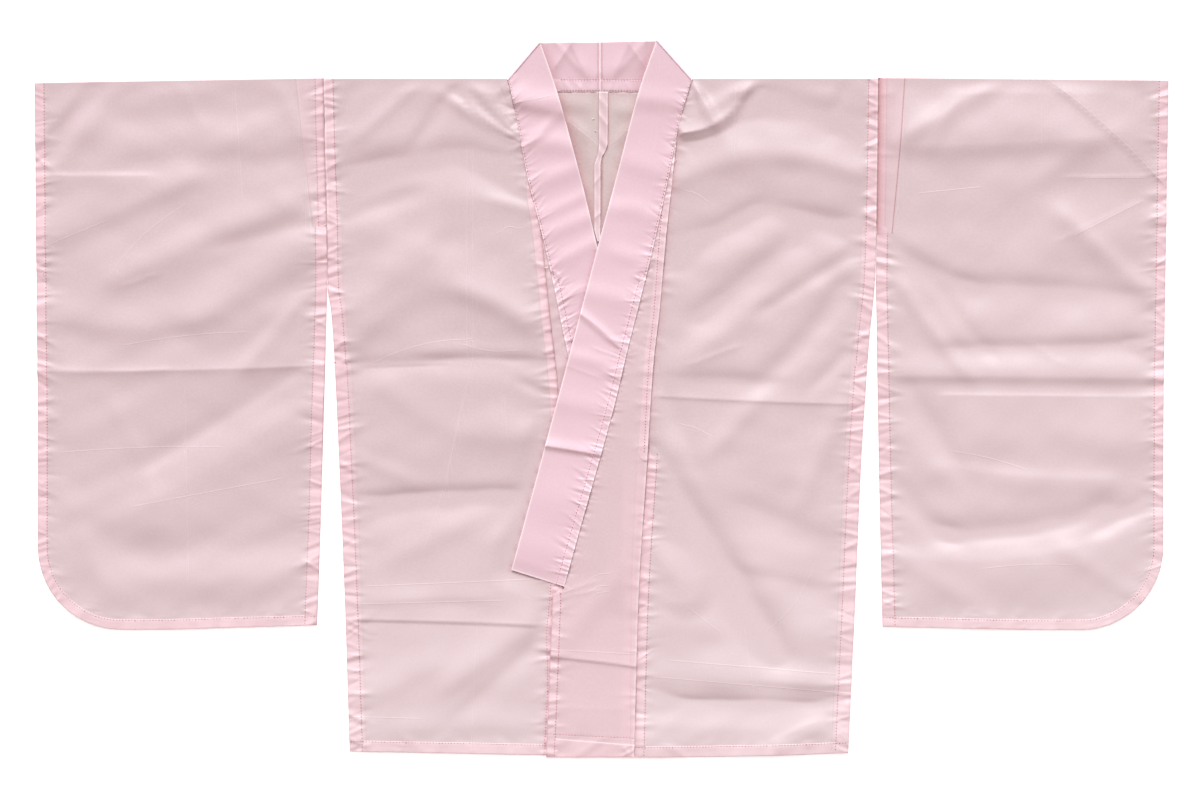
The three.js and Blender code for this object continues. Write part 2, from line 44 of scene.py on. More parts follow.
# heights of the layers, as the frame stacks them
stack = {
    "wall": 1.0,
    "collarWall": 2.0,
    "gap": 0.3,
    "cloth": 0.5,  # what a single cloth shows of its wall
    "collar": 1.4,
}
onBack = stack["wall"] + stack["gap"]
onRightFront = onBack + stack["wall"] + stack["gap"]
onRightCollar = onBack + stack["collarWall"] + stack["gap"]
fineness = 1.0  # grid steps grow by this while trying things


# studio: camera straight above, one broad key from the collar side, pale floor
studio = {
    "cameraHeight": 3000,
    "lens": 80.37,
    "centre": (-1.7, -1.7),
    "floorColor": (0.97, 0.97, 0.97, 1),
    "floorGlow": 0.55,  # the floor is lit from below, as a light table is
    "worldColor": (1.0, 0.74, 0.69, 1),
    "worldStrength": 0.4,
    "suns": [
        # name, where it shines from, strength, width of its disc, colour
        ("key", (-0.35, 2.1, 0.95), 3.75, 24, (0.93, 1.0, 1.0)),
        ("sheen", (0.1, 0.55, 1.0), 0.85, 16, (0.88, 0.95, 1.0)),
    ],
}


def makeStudio(s):
    scene = bpy.context.scene
    scene.view_settings.view_transform = "Standard"
    data = bpy.data.cameras.new("camera")
    data.lens = s["lens"]
    data.clip_end = 20
    camera = bpy.data.objects.new("camera", data)
    camera.location = (s["centre"][0] * mm, s["centre"][1] * mm, s["cameraHeight"] * mm)
    scene.collection.objects.link(camera)
    scene.camera = camera
    for name, origin, strength, width, tint in s["suns"]:
        light = bpy.data.lights.new(name, "SUN")
        light.angle = math.radians(width)
        light.energy = strength
        light.color = tint
        lamp = bpy.data.objects.new(name, light)
        lamp.location = origin
        lamp.rotation_euler = lamp.location.to_track_quat("Z", "Y").to_euler()
        lamp.visible_glossy = name == "sheen"
        scene.collection.objects.link(lamp)
    world = bpy.data.worlds.new("room")
    world.use_nodes = True
    background = world.node_tree.nodes["Background"]
    background.inputs[0].default_value = s["worldColor"]
    background.inputs[1].default_value = s["worldStrength"]
    scene.world = world
    bpy.ops.mesh.primitive_plane_add(size=40, location=(0, 0, -0.0002))
    floor = bpy.context.object
    floor.name = "floor"
    paint = Shader("floorPaint")
    grain = paint.node("TexNoise", {}, {"Scale": 3.0, "Detail": 2.0})
    pale = [c * 0.985 for c in s["floorColor"][:3]] + [1]
    color = paint.mixColor(grain, s["floorColor"], pale)
    paint.principled({"Base Color": color, "Roughness": 0.8, "Specular IOR Level": 0.1,
                      "Emission Color": s["floorColor"], "Emission Strength": s["floorGlow"]})
    floor.data.materials.append(paint.material)


# shader maths
class Link:
    # an output socket that adds Math nodes as it is reckoned with
    def __init__(self, shader, socket):
        self.shader = shader
        self.socket = socket

    def math(self, operation, a, b):
        return self.shader.node("Math", {"operation": operation}, {0: a, 1: b})

    def __add__(self, other):
        return self.math("ADD", self, other)

    def __radd__(self, other):
        return self.math("ADD", other, self)

    def __sub__(self, other):
        return self.math("SUBTRACT", self, other)

    def __rsub__(self, other):
        return self.math("SUBTRACT", other, self)

    def __mul__(self, other):
        return self.math("MULTIPLY", self, other)

    def __rmul__(self, other):
        return self.math("MULTIPLY", other, self)

    def __truediv__(self, other):
        return self.math("DIVIDE", self, other)

    def __abs__(self):
        return self.math("ABSOLUTE", self, 0)

    def clamp(self):
        return self.shader.node("Clamp", {}, {0: self})


class Shader:
    def __init__(self, name):
        self.material = bpy.data.materials.new(name)
        self.material.use_nodes = True
        self.tree = self.material.node_tree
        self.tree.nodes.clear()

    def node(self, kind, settings, inputs, output=0):
        made = self.tree.nodes.new("ShaderNode" + kind)
        for key, value in settings.items():
            setattr(made, key, value)
        for key, value in inputs.items():
            if isinstance(value, Link):
                self.tree.links.new(value.socket, made.inputs[key])
            else:
                made.inputs[key].default_value = value
        return None if output is None else Link(self, made.outputs[output])

    def attribute(self, name):
        return self.node("Attribute", {"attribute_name": name}, {}, "Fac")

    def mixColor(self, factor, a, b, blend="MIX"):
        settings = {"data_type": "RGBA", "blend_type": blend}
        return self.node("Mix", settings, {0: factor, 6: a, 7: b}, 2)

    def bump(self, height, distance):
        return self.node("Bump", {}, {"Strength": 1.0, "Distance": distance, "Height": height})

    def principled(self, inputs):
        surface = self.node("BsdfPrincipled", {}, inputs)
        self.node("OutputMaterial", {}, {0: surface}, None)


# cloth materials
def color(red, green, blue):
    # 0-255 as the eye reads it, to the light that the shader reckons with
    toLight = lambda c: c / 12.92 if c <= 0.04045 else ((c + 0.055) / 1.055) ** 2.4
    return tuple(toLight(c / 255) for c in (red, green, blue)) + (1,)


satinFinish = {
    "roughness": 0.36,
    "specular": 0.6,
    "sheen": 0.1,
    "threadPitch": 0.34,  # between warp threads
    "threadHeight": 0.003,
    "stepHeight": 0.22,  # of a turned-in edge seen through the cloth
    "lineHeight": 0.09,  # of a pressed line
    "lineWidth": 0.9,
    # the seam colour marks the allowance's edge line and is the painted shade along edges; the glint colour
    # is a painted highlight, the pale colour painted light and the shade colour painted shade
    "seamAndShadeColor": color(186, 122, 128),
    "glintColor": color(255, 246, 250),
    "paintedLightColor": color(246, 232, 236),
    "shadeColor": color(188, 158, 164),
    "slubColor": color(250, 236, 240),
}


def satin(name, single, doubled, paintedPaling=0.36, finish=satinFinish):
    s = Shader(name)
    place = s.node("TexCoord", {}, {}, "Object")

    def threads(direction, scale, distortion):
        settings = {"wave_type": "BANDS", "wave_profile": "SIN", "bands_direction": direction}
        inputs = {"Vector": place, "Scale": scale, "Distortion": distortion}
        return s.node("TexWave", settings, inputs, "Fac")

    def noise(scale, detail, **more):
        return s.node("TexNoise", {}, {"Vector": place, "Scale": scale, "Detail": detail, **more}, "Fac")

    pitch = 0.314 / (finish["threadPitch"] * mm)
    weft = threads("Y", pitch, 0.4)
    warp = threads("X", pitch * 0.6, 0.3)
    mottle = noise(14.0, 3.0, Roughness=0.55)
    slub = noise(420.0, 2.0)
    turned = (s.attribute("doubled") * 1.5 + 0.5).clamp()
    allowance = (s.attribute("allowance") * 1.1 + 0.5).clamp()
    pink = s.attribute("pink")
    lines = 0
    for channel in "AB":
        away = abs(s.attribute("line" + channel)) / finish["lineWidth"]
        lines = lines + (1 - away).clamp() * s.attribute("near" + channel)
    layers = (turned + allowance * 0.35 + pink).clamp()
    base = s.mixColor(layers, single, doubled)
    base = s.mixColor((mottle * 0.9 - 0.2).clamp() * 0.5, base, [c * 0.955 for c in single[:3]] + [1])
    # painted light makes the cloth paler towards the hem and the left sleeve, and painted shade makes it
    # darker towards the shoulders
    down = s.node("SeparateXYZ", {}, {0: place}, 1) * -1 / (1000 * mm)
    side = s.node("SeparateXYZ", {}, {0: place}, 0) / (600 * mm)
    paintedPaler = (down * 3.0 - 0.2).clamp() * paintedPaling + side.clamp() * (down * 3.0 + 1).clamp() * (paintedPaling * 0.45)
    base = s.mixColor(paintedPaler, base, finish["paintedLightColor"])
    base = s.mixColor((down * -6.0 - 1.2).clamp() * 0.1, base, finish["shadeColor"])
    # pressed lines are painted paler, a painted highlight along each line
    base = s.mixColor(lines * 0.18, base, finish["paintedLightColor"])
    rimLine = (1 - abs(s.attribute("allowance")) / 1.1).clamp() * s.attribute("rim")
    # the seam attribute is painted shade along edges, seams and under other pieces' edges; the glint is a
    # painted highlight
    for mask, tint in ((rimLine, "seamAndShadeColor"), (s.attribute("seam") * 0.85, "seamAndShadeColor"),
                       ((slub - 0.35).clamp() * 0.35, "slubColor"), (s.attribute("glint"), "glintColor")):
        base = s.mixColor(mask, base, finish[tint])
    height = turned * finish["stepHeight"] + allowance * 0.08 + lines * finish["lineHeight"]
    height = height + (weft + warp * 0.5 + slub * 1.5) * finish["threadHeight"]
    s.principled({
        "Base Color": base,
        "Roughness": mottle * 0.1 + (finish["roughness"] - 0.05),
        "Specular IOR Level": finish["specular"],
        "Sheen Weight": finish["sheen"],
        "Sheen Roughness": 0.4,
        "Normal": s.bump(height, mm),
    })
    return s.material


def thread(name, tint):
    s = Shader(name)
    place = s.node("TexCoord", {}, {}, "Object")
    twist = s.node("TexWave", {"bands_direction": "DIAGONAL"}, {"Vector": place, "Scale": 900.0}, "Fac")
    base = s.mixColor(twist * 0.3, tint, [c * 0.85 for c in tint[:3]] + [1])
    s.principled({"Base Color": base, "Roughness": 0.45, "Normal": s.bump(twist * 0.05, mm)})
    return s.material


# outlines, one row for each point that an edge needs
def table(columns, *rows):
    # named columns from rows, with 0 where a row stops short
    columns = columns.split()
    filled = [row + (0,) * (len(columns) - len(row)) for row in rows]
    return dict(zip(columns, np.array(filled, float).T))


bodySide = {
    "left": table("y x", (359, 309.7), (249, 308.6), (134, 305.9), (66, 299.6), (36, 297.4),
                  (-69, 290.6), (-226, 283.9), (-402, 275.8)),
    "right": table("y x", (359, -311.1), (269, -309.3), (194, -307.1), (121, -306.1), (98, -302.6),
                   (40, -298.7), (-114, -291.8), (-226, -287.3), (-402, -281.7)),
}
hem = {
    "left": table("x y", (30, -401.4), (92, -401.2), (190, -399.6), (276, -396.6)),
    "right": table("x y", (-282, -394.9), (-160, -397.2), (-45, -399.4), (-1, -399.8)),
}
collarSeam = {
    "left": table("y x", (355.6, 100.6), (307, 86.8), (245, 74.6), (163, 56.6), (54, 29.2),
                  (-13, 13.2), (-147, -24.1), (-211, -41.8)),
    "right": table("y x", (355.6, -104.4), (314, -94.9), (253, -84.2), (188, -67.9), (128, -54),
                   (48, -37.5), (-13, -21.6), (-147, 15.1), (-214, 33)),
}
collarFold = {
    "left": table("y x", (400.2, 61), (343, 41.4), (245, 15.7), (171, -4), (95, -23.9),
                  (-24, -55.4), (-192, -100.9)),
    "right": table("y x", (398.2, -68.3), (343, -49.5), (245, -22.6), (171, -4.9), (64, 19.6),
                   (4, 36.4), (-198, 92.4)),
}
stripSeam = {
    "left": table("y x", (299, 85.1), (245, 79.6), (178, 72.2), (99, 65.3), (39, 58.4),
                  (-83, 50.4), (-211, 42.2), (-402, 36.6)),
    "right": table("y x", (188, -67.9), (151, -63.7), (85, -56.9), (8, -48.4), (-91, -44.4),
                   (-214, -43.1), (-402, -45.4)),
}
stripEdge = {
    "left": table("y x", (-215, -54.3), (-402, -61.9)),
    "right": table("y x", (-218, 52), (-402, 59)),
}
backNeck = table("x y", (0, 343.8), (50, 343.8), (78, 347.4), (100, 353.6), (104.5, 355),
                 (109, 357.9), (320, 358.5))
shoulderY = 358.5
centreX = -1.7
sideEndY = -396  # the side seams' low end
stripEndY = -400
sleeveCut = {
    "left": {"cuffTopX": 634.5, "cuffHemX": 628.6, "topInnerY": 359.4, "topOuterY": 356.4,
             "hemInnerY": -255.4, "hemOuterY": -259, "radius": 93,
             "inner": table("y x", (360, 310.1), (249, 309), (184, 308), (134, 307), (88, 307.7),
                            (-46, 309.9), (-147, 311.9), (-260, 314.6))},
    "right": {"cuffTopX": 634.5, "cuffHemX": 630.8, "topInnerY": 359, "topOuterY": 353.6,
              "hemInnerY": -253.6, "hemOuterY": -258.6, "radius": 93,
              "inner": table("y x", (360, 311.5), (269, 309.7), (194, 307.5), (134, 306.9),
                             (66, 308.6), (-46, 311.9), (-136, 314.2), (-260, 318.8))},
}
sideSign = {"left": 1, "right": -1}


def along(rows, value, source="y", target="x"):
    # a smooth line through a table, held still past its ends
    keys, values = rows[source], rows[target]
    if keys[0] > keys[-1]:
        keys, values = keys[::-1], values[::-1]
    value = np.clip(value, keys[0], keys[-1])
    k = np.clip(np.searchsorted(keys, value, side="right") - 1, 0, len(keys) - 2)
    ends = np.diff(values)[[0, -1]] / np.diff(keys)[[0, -1]]
    inside = (values[2:] - values[:-2]) / (keys[2:] - keys[:-2])
    slopes = np.concatenate(([ends[0]], inside, [ends[1]]))
    span = keys[k + 1] - keys[k]
    t = (value - keys[k]) / span
    t2 = t * t
    t3 = t2 * t
    start = (2 * t3 - 3 * t2 + 1) * values[k] + (t3 - 2 * t2 + t) * slopes[k] * span
    return start + (3 * t2 - 2 * t3) * values[k + 1] + (t3 - t2) * slopes[k + 1] * span


def smooth(value, start, end):
    t = np.clip((value - start) / (end - start), 0, 1)
    return t * t * (3 - 2 * t)


def lerp(a, b, t):
    return a + (b - a) * t


# folds and creases of each piece
# a row for each: its two ends, its reach above and below, its height, and, if it bows, how far
folds = {
    "sleeveRight": [
        (-621, 278, -572, 344, 7, 11, -1.6), (-606, 262, -552, 334, 10, 14, 0.7),
        (-540, 313, -388, 326, 16, 16, -0.6, -4), (-520, 262, -327, 262, 14, 16, -0.7, 4),
        (-517, 280, -338, 292, 18, 18, 0.2, 4), (-620, 247, -520, 247, 5, 14, 0.6),
        (-616, 180, -470, 243, 18, 14, 1.4), (-541, 137, -360, 213, 22, 18, 1.7),
        (-430, 172, -330, 196, 12, 10, -0.7), (-450, 90, -320, 172, 22, 22, 1.9, 4),
        (-621, 96, -433, 96, 22, 15, 1.1, -14), (-393, 42, -344, 99, 8, 12, 1.0),
        (-510, -125, -318, -6, 20, 34, 1.2), (-420, -70, -318, -6, 16, 26, 0.5),
        (-500, -70, -345, 28, 14, 9, -0.9), (-587, -119, -449, -138, 28, 18, 0.6, -8),
        (-550, -171, -327, -153, 18, 18, -0.8, -10), (-513, -198, -349, -192, 15, 20, 0.35, -14),
        (-600, 40, -585, -60, 14, 14, 0.5), (-540, -20, -505, -110, 10, 10, 0.6, 6),
        (-596, -120, -560, -200, 12, 12, 0.6), (-362, 352, -338, 300, 8, 10, 0.7),
        (-470, 352, -455, 320, 6, 8, 0.5),
    ],
    "sleeveLeft": [
        (345, 296, 432, 349, 10, 12, 1.1), (345, 285, 540, 293, 45, 16, 1.9, -2),
        (494, 246, 560, 290, 12, 12, 0.6, 4), (524, 198, 612, 118, 10, 14, 1.3),
        (327, 169, 402, 131, 10, 22, -1.3, -3), (424, 126, 616, 110, 12, 26, -1.3, 3),
        (384, 116, 432, 55, 7, 8, -0.6, -3), (340, 120, 401, 37, 8, 9, 1.2, -2),
        (400, 55, 588, 60, 9, 17, -1.2), (600, 58, 628, 42, 9, 15, -1.1), (330, 27, 628, 24, 18, 8, 1.2),
        (346, 8, 396, -74, 12, 12, -1.3), (336, -40, 372, -78, 14, 14, 0.7),
        (400, -80, 560, -92, 10, 16, 0.8, -4), (336, -107, 388, -153, 12, 12, -1.2, -3),
        (388, -153, 564, -125, 18, 12, -1.7, -8), (564, -143, 625, -110, 10, 10, -1.2),
        (332, -178, 558, -160, 12, 26, 0.8, -14), (603, 344, 627, 274, 6, 6, -0.8),
        (527, -175, 586, -215, 12, 12, 0.8), (332, -176, 395, -216, 14, 12, 0.7),
        (335, 353, 331, 300, 6, 7, -0.6), (392, 330, 372, 290, 8, 8, 0.5),
        (520, -40, 600, -48, 20, 20, 0.6),
    ],
    "frontRight": [
        (-293, 237, -85, 247, 17, 30, -2.1, 28), (-160, 329, -90, 288, 8, 7, 1.3, -2),
        (-132, 338, -104, 306, 6, 6, 0.8), (-163, 350, -198, 300, 7, 10, -1.0),
        (-276, 355, -288, 323, 5, 8, -0.8), (-215, 345, -265, 300, 8, 8, 0.7),
        (-291, 202, -217, 226, 10, 12, -1.1), (-240, 150, -190, 186, 18, 14, 0.9),
        (-276, 108, -200, 158, 16, 14, 1.1), (-281, 60, -86, 92, 34, 22, 1.5, 50),
        (-150, 118, -84, 85, 14, 12, 1.0, 2), (-286, 38, -58, 41, 8, 14, -0.7, 1),
        (-190, 53, -62, 49, 12, 8, 0.6), (-180, 44, -100, 44, 8, 5, -0.6, 3),
        (-239, 12, -84, -40, 20, 16, 1.1, -18), (-286, -121, -80, -110, 11, 26, -2.4, 5),
        (-292, -60, -230, -84, 10, 10, 0.7), (-226, -175, -147, -136, 14, 14, 0.5),
        (-262, -228, -150, -222, 12, 8, 0.6, 3), (-170, -319, -84, -256, 20, 14, 1.6),
        (-146, -342, -70, -274, 8, 14, -0.8), (-262, -335, -190, -298, 20, 14, 1.0),
        (-257, -374, -101, -366, 16, 12, 0.7, 4), (-76, 12, -60, 4, 6, 6, -0.8),
        (-108, -150, -78, -120, 10, 10, 0.6), (-112, 220, -80, 212, 8, 8, 0.6),
    ],
    "frontLeft": [
        (103, 354, 120, 321, 4, 5, 1.3), (128, 330, 168, 352, 8, 9, 0.8),
        (161, 330, 278, 306, 14, 30, -1.3, 6), (88, 246, 285, 254, 16, 13, 1.1, 22),
        (92, 166, 168, 206, 14, 22, -2.2), (214, 205, 286, 188, 13, 20, -1.9, 3),
        (112, 92, 215, 176, 14, 18, -1.6), (190, 105, 291, 168, 9, 9, -1.1),
        (190, 28, 266, 116, 13, 13, -1.7, -4), (246, 22, 284, 62, 8, 8, -0.8),
        (104, 52, 190, 110, 14, 14, 0.8), (92, 21, 186, 16, 9, 22, -0.9, 2),
        (77, -8, 107, -77, 11, 9, -0.9), (132, -50, 172, -6, 12, 10, 0.7),
        (226, -108, 262, -24, 12, 12, 0.9), (56, -74, 198, -292, 20, 30, -2.8, 3),
        (84, -62, 222, -272, 26, 18, 1.0, 3), (190, -314, 264, -320, 16, 9, 1.0),
        (175, -128, 264, -165, 14, 22, -1.2), (160, -198, 264, -222, 10, 22, -0.7, 2),
        (42, -312, 270, -321, 20, 12, 0.4, 3), (48, -150, 78, -196, 10, 10, 0.6),
        (58, -252, 112, -256, 16, 22, 0.9), (50, -370, 262, -376, 15, 34, 1.0),
        (75, -391, 140, -362, 12, 12, 0.5), (200, -392, 262, -352, 12, 10, 0.8),
        (104, 350, 121, 318, 6, 6, 0.6), (272, 352, 262, 318, 6, 8, -0.6),
    ],
    "collarLeft": [
        (-24, 95, 18, 59, 6, 4, 0.8), (-64, -53, -8, -62, 8, 4, 0.8, 1), (52, 338, 92, 326, 18, 14, 0.8),
        (36, 262, 74, 252, 14, 12, 0.7), (18, 212, 52, 205, 12, 12, 0.8, 3),
        (26, 160, 54, 150, 12, 10, 0.7), (-10, 118, 36, 108, 12, 12, 0.7),
        (-30, 46, 16, 30, 10, 10, 0.8, 3), (-40, -4, 6, -12, 14, 12, 0.7),
        (-84, -110, -22, -118, 26, 22, 0.6), (-90, -160, -40, -176, 18, 18, 0.5),
        (66, 392, 84, 372, 8, 10, 0.5),
    ],
    "collarRight": [
        (-98, 334, -44, 322, 22, 9, 1.8), (-86, 280, -66, 300, 6, 7, 0.8),
        (-64, 286, -30, 280, 12, 12, 1.0, 3), (-74, 240, -20, 262, 10, 12, 0.9),
        (-64, 206, -30, 222, 8, 9, 0.7), (-66, 182, -10, 205, 10, 10, 0.8),
        (-56, 150, -12, 172, 8, 10, 0.7), (-50, 112, -18, 122, 8, 8, 0.6),
        (-88, 352, -66, 380, 10, 14, 0.6),
    ],
    "stripLeft": [
        (12, -208, -43, -270, 14, 14, 0.7), (50, -60, 30, -180, 14, 14, 0.5),
        (20, -330, 30, -380, 20, 16, 0.3),
    ],
    "stripRight": [
        (-60, 130, -40, 100, 9, 9, 0.4),
    ],
    "back": [
        (-33, 307, 6, 276, 7, 7, 0.6), (6, 281, 27, 298, 7, 7, 0.6), (-40, 330, 30, 322, 12, 9, 0.8),
        (10, 250, 24, 232, 8, 8, 0.7), (-22, 262, -6, 232, 7, 8, -0.7), (-10, 222, -2, 200, 6, 6, 0.7),
    ],
}
# sharp to the crest, so that the light breaks on a line
creases = {
    "sleeveRight": [
        (-632, 32, -315, 37, 14, 8, 1.6, -3), (-632, 31, -490, 33, 3, 12, 0.6, -3),
        (-616, 250, -512, 250, 2, 3, 0.25), (-528, 128, -502, 138, 2, 3, 0.4),
    ],
    "sleeveLeft": [
        (384, 4, 629, 2, 4, 40, 0.8), (505, 352, 626, 243, 30, 2.5, 1.4, 2),
        (524, 248, 608, 249, 2, 6, 0.4), (515, 178, 599, 219, 2, 3, 0.4), (480, 62, 512, 40, 2, 3, 0.4),
    ],
    "frontRight": [
        (-286, -250, -72, -257, 3, 22, -0.8, 1), (-286, -247, -72, -253, 3, 2.5, 0.5, 1),
        (-284, 33, -180, 37, 3, 8, -0.5), (-120, 337, -106, 354, 3, 3, 0.5),
        (-163, 345, -95, 288, 3, 6, -1.1, -8), (-143, 340, -97, 296, 2.5, 3, -0.7, -4),
        (-128, 347, -102, 312, 2, 3, 0.6), (-116, 352, -104, 325, 2, 2, -0.5),
    ],
    "frontLeft": [
        (69, 2, 281, -6.5, 14, 2.4, 0.9, -1), (99, 19, 176, 16, 7, 12, -0.2, -1),
        (40, -333, 264, -341, 8, 20, -3.3, -3), (184, -387, 234, -363, 3, 5, 0.5),
        (102, 39, 148, 57, 3, 5, 0.6), (91, 297, 166, 354, 16, 7, 3.2, -15),
        (94, 287, 176, 346, 6, 14, -1.6, -15), (60, -82, 150, -216, 5, 14, -0.8, 2),
    ],
    "collarLeft": [
        (-24, 94.6, 17.4, 59, 3, 2, 0.6, 2), (-63, -53, -8, -62, 6, 1.6, 0.9), (-40, 37, 0, 22, 5, 3, 0.35),
        (-5, 55, 18, 46, 3, 3, 0.4),
    ],
    "stripLeft": [
        (-60, -289, 37, -300, 13, 1.6, 1.1, 1), (-57, -345, 30, -349, 5, 5, 0.15),
        (-45, -218, -10, -206, 4, 3, 0.5), (-43, -222, -8, -215, 3, 3, 0.4),
    ],
}
pressedLines = {
    "sleeveRight": [
        (-340, 353, -324, 173), (-618, 172, -560, 196), (-530, 60, -400, 74, 3), (-600, -60, -430, -54, 2),
        (-548, 140, -470, 214, 6), (-520, -120, -360, -90), (-410, 340, -402, 230), (-466, 8, -462, -200),
    ],
    "sleeveLeft": [
        (340, 353, 331, 211), (331, 211, 323, 183), (505, 353, 628, 241, 4), (492, 324, 492, 285),
        (534, 185, 601, 219), (548, 247, 603, 247), (430, -190, 520, -186, 2), (360, 230, 420, 236),
        (398, -60, 470, -78, 2),
    ],
    "frontRight": [
        (-144, 278, -144, 50), (-151, 278, -151, 50), (-144, 50, -197, -165, 4), (-156, -2, -176, -106),
        (-109, -4, -106, -40), (-259, -210, -69, -202), (-265, -230, -114, -226), (-282, -356, -206, -358),
        (-250, 42, -150, 66, 6), (-113, 186, -94, 190, 4), (-152, 60, -96, 54, -4),
        (-140, -256, -146, -390),
    ],
    "frontLeft": [
        (150, 345, 148, 275), (77, -293, 258, -308), (66, -312, 275, -330), (92, -30, 118, -40, 2),
        (160, -262, 170, -330), (95, 232, 116, 222, 2), (184, -260, 232, -200, -6), (100, -236, 128, -258),
    ],
    "stripLeft": [
        (-18, -208, 8, -196, 4), (-12, -216, 6, -210, 3), (-10, -222, 4, -217, 2), (-54, -281, 36, -286),
        (-40, 26, -2, 12),
    ],
    "collarLeft": [
        (65, 372, 56, 287), (67, 350, 59, 276, 1), (54, 379, 48, 323), (60, 250, 50, 196),
        (-80, -70, -92, -120),
    ],
    "collarRight": [
        (-70, 380, -78, 350), (-96, 330, -60, 338),
    ],
    "back": [
        (-33, 307, 6, 276), (6, 281, 27, 298),
    ],
}
foldColumns = "fromX fromY toX toY above below rise bow"
folds = {key: table(foldColumns, *rows) for key, rows in folds.items()}
creases = {key: table(foldColumns, *rows) for key, rows in creases.items()}
pressedLines = {key: table("fromX fromY toX toY bow", *rows) for key, rows in pressedLines.items()}
lineReach = 5  # no shader needs to know of a pressed line further off
farInside = -30.0  # further inside an edge than any turned cloth


def acrossFold(x, y, fromX, fromY, toX, toY, bow):
    # how far a point lies on the +Y side of a bowed line, and how far past its ends
    dx = toX - fromX
    dy = toY - fromY
    length = math.hypot(dx, dy)
    share = ((x - fromX) * dx + (y - fromY) * dy) / length**2
    held = np.clip(share, 0, 1)
    across = ((y - fromY) * dx - (x - fromX) * dy) / length - 4 * bow * held * (1 - held)
    past = np.maximum(0, np.maximum(-share, share - 1)) * length
    return (across if dx > 0 else -across), past


foldGain = 1.38  # the cloth stands a little prouder than its frame
softEnd = 22  # a soft fold runs out over this distance past its ends
sharpEnd = 6


def eachFold(rows, x, y):
    # the height of each fold, how far across it a point lies in its own spreads, and how far past it
    for *ends, above, below, rise, bow in zip(*rows.values()):
        up, past = acrossFold(x, y, *ends, bow)
        yield rise, up / np.where(up > 0, above, below), past


def foldHeight(piece, x, y):
    soft = np.zeros_like(x)
    for rise, across, past in eachFold(piece["folds"], x, y):
        soft += foldGain * rise * np.exp(-(across**2) - (past / softEnd) ** 2)
    sharp = np.zeros_like(x)
    for rise, across, past in eachFold(piece["creases"], x, y):
        sharp += rise * np.exp(-np.abs(across) - (past / sharpEnd) ** 2)
    return soft, sharp


def lineChannels(rows, x, y):
    # the nearest pressed line on each of two channels, so that neighbours don't mix
    found = {}
    lines = list(zip(*rows.values()))
    for offset, channel in enumerate("AB"):
        closest = np.full_like(x, lineReach)
        near = np.zeros_like(x)
        for line in lines[offset::2]:
            up, past = acrossFold(x, y, *line)
            closer = (np.abs(up) < np.abs(closest)) & (past < 2 * lineReach)
            closest = np.where(closer, up, closest)
            near = np.where(closer, 1 - smooth(past, 0, 2 * lineReach), near)
        found["line" + channel] = closest
        found["near" + channel] = near
    return found


slackWaves = {"count": 26, "turning": 0.7, "length": (26, 120), "fullHeightAt": 80}


def undulation(x, y, seed, height):
    # the slack that any laid cloth keeps
    w = slackWaves
    rng = np.random.default_rng(seed)
    total = np.zeros_like(x)
    for _ in range(w["count"]):
        angle = rng.normal(math.pi / 2, w["turning"])
        wave = rng.uniform(*w["length"])
        phase = rng.uniform(0, 2 * math.pi)
        run = (x * math.cos(angle) + y * math.sin(angle)) * 2 * math.pi / wave
        total += (wave / w["fullHeightAt"]) * np.cos(run + phase)
    return total * height / math.sqrt(w["count"])


# edges: where a piece is turned in, sewn and puckered
def nearest(path, x, y):
    # distance from a path, how far along it the nearest point lies, and its length
    away = np.full(x.shape, 1e6)
    run = np.zeros_like(x)
    passed = 0.0
    for (ax, ay), (bx, by) in zip(path[:-1], path[1:]):
        dx, dy = bx - ax, by - ay
        length = math.hypot(dx, dy)
        share = np.clip(((x - ax) * dx + (y - ay) * dy) / length**2, 0, 1)
        distance = np.hypot(x - ax - share * dx, y - ay - share * dy)
        closer = distance < away
        away = np.where(closer, distance, away)
        run = np.where(closer, passed + share * length, run)
        passed += length
    return away, run, passed


def inset(path, distances):
    # a path moved to its left, by a distance for each of its points
    ahead = np.gradient(path, axis=0)
    ahead /= np.linalg.norm(ahead, axis=1)[:, None]
    left = np.column_stack([-ahead[:, 1], ahead[:, 0]])
    return path + left * np.reshape(distances, (-1, 1))


def resample(path, pitch):
    run = np.concatenate(([0], np.cumsum(np.linalg.norm(np.diff(path, axis=0), axis=1))))
    at = np.arange(pitch / 2, run[-1], pitch)
    return np.column_stack([np.interp(at, run, path[:, axis]) for axis in (0, 1)])


def downPath(rows, top, low, moved=0, count=60):
    y = np.linspace(top, low, count)
    return np.column_stack([along(rows, y) + moved, y])


def overPath(rows, start, end, moved=0, count=40):
    x = np.linspace(start, end, count)
    return np.column_stack([x, along(rows, x, "x", "y") + moved])


def straightPath(ends, count=12):
    ends = np.array(ends, float)
    share = np.linspace(0, 1, count)
    return np.column_stack([np.interp(share, [0, 1], ends[:, axis]) for axis in (0, 1)])


def edging(path, inward=1, band=None, stitch=None, **more):
    # inward is 1 where the cloth lies on the path's left; widths are one number, or one at each end
    # shade and glint are (strength, reach) of the painted shade and the painted highlight along the edge
    e = {"path": path, "inward": inward, "band": band, "stitch": stitch, "allowance": None, "rim": 0.1,
         "tip": False, "pucker": None, "folded": True, "ditch": 0, "shade": (0.5, 0.6), "glint": None}
    return {**e, **more}


def shadeUnder(path, strength=0.55, reach=2.2, dip=0.0):
    # painted shade on cloth that another piece's edge lies over
    return edging(path, folded=False, ditch=dip, shade=(strength, reach))


def widthAt(width, share):
    if not isinstance(width, tuple):
        return np.full_like(share, width)
    return np.interp(share, np.linspace(0, 1, len(width)), width)


def pucker(spacing, rise, width, reach, slant, lean=0):
    return {"spacing": spacing, "rise": rise, "width": width, "reach": reach, "slant": slant, "lean": lean}


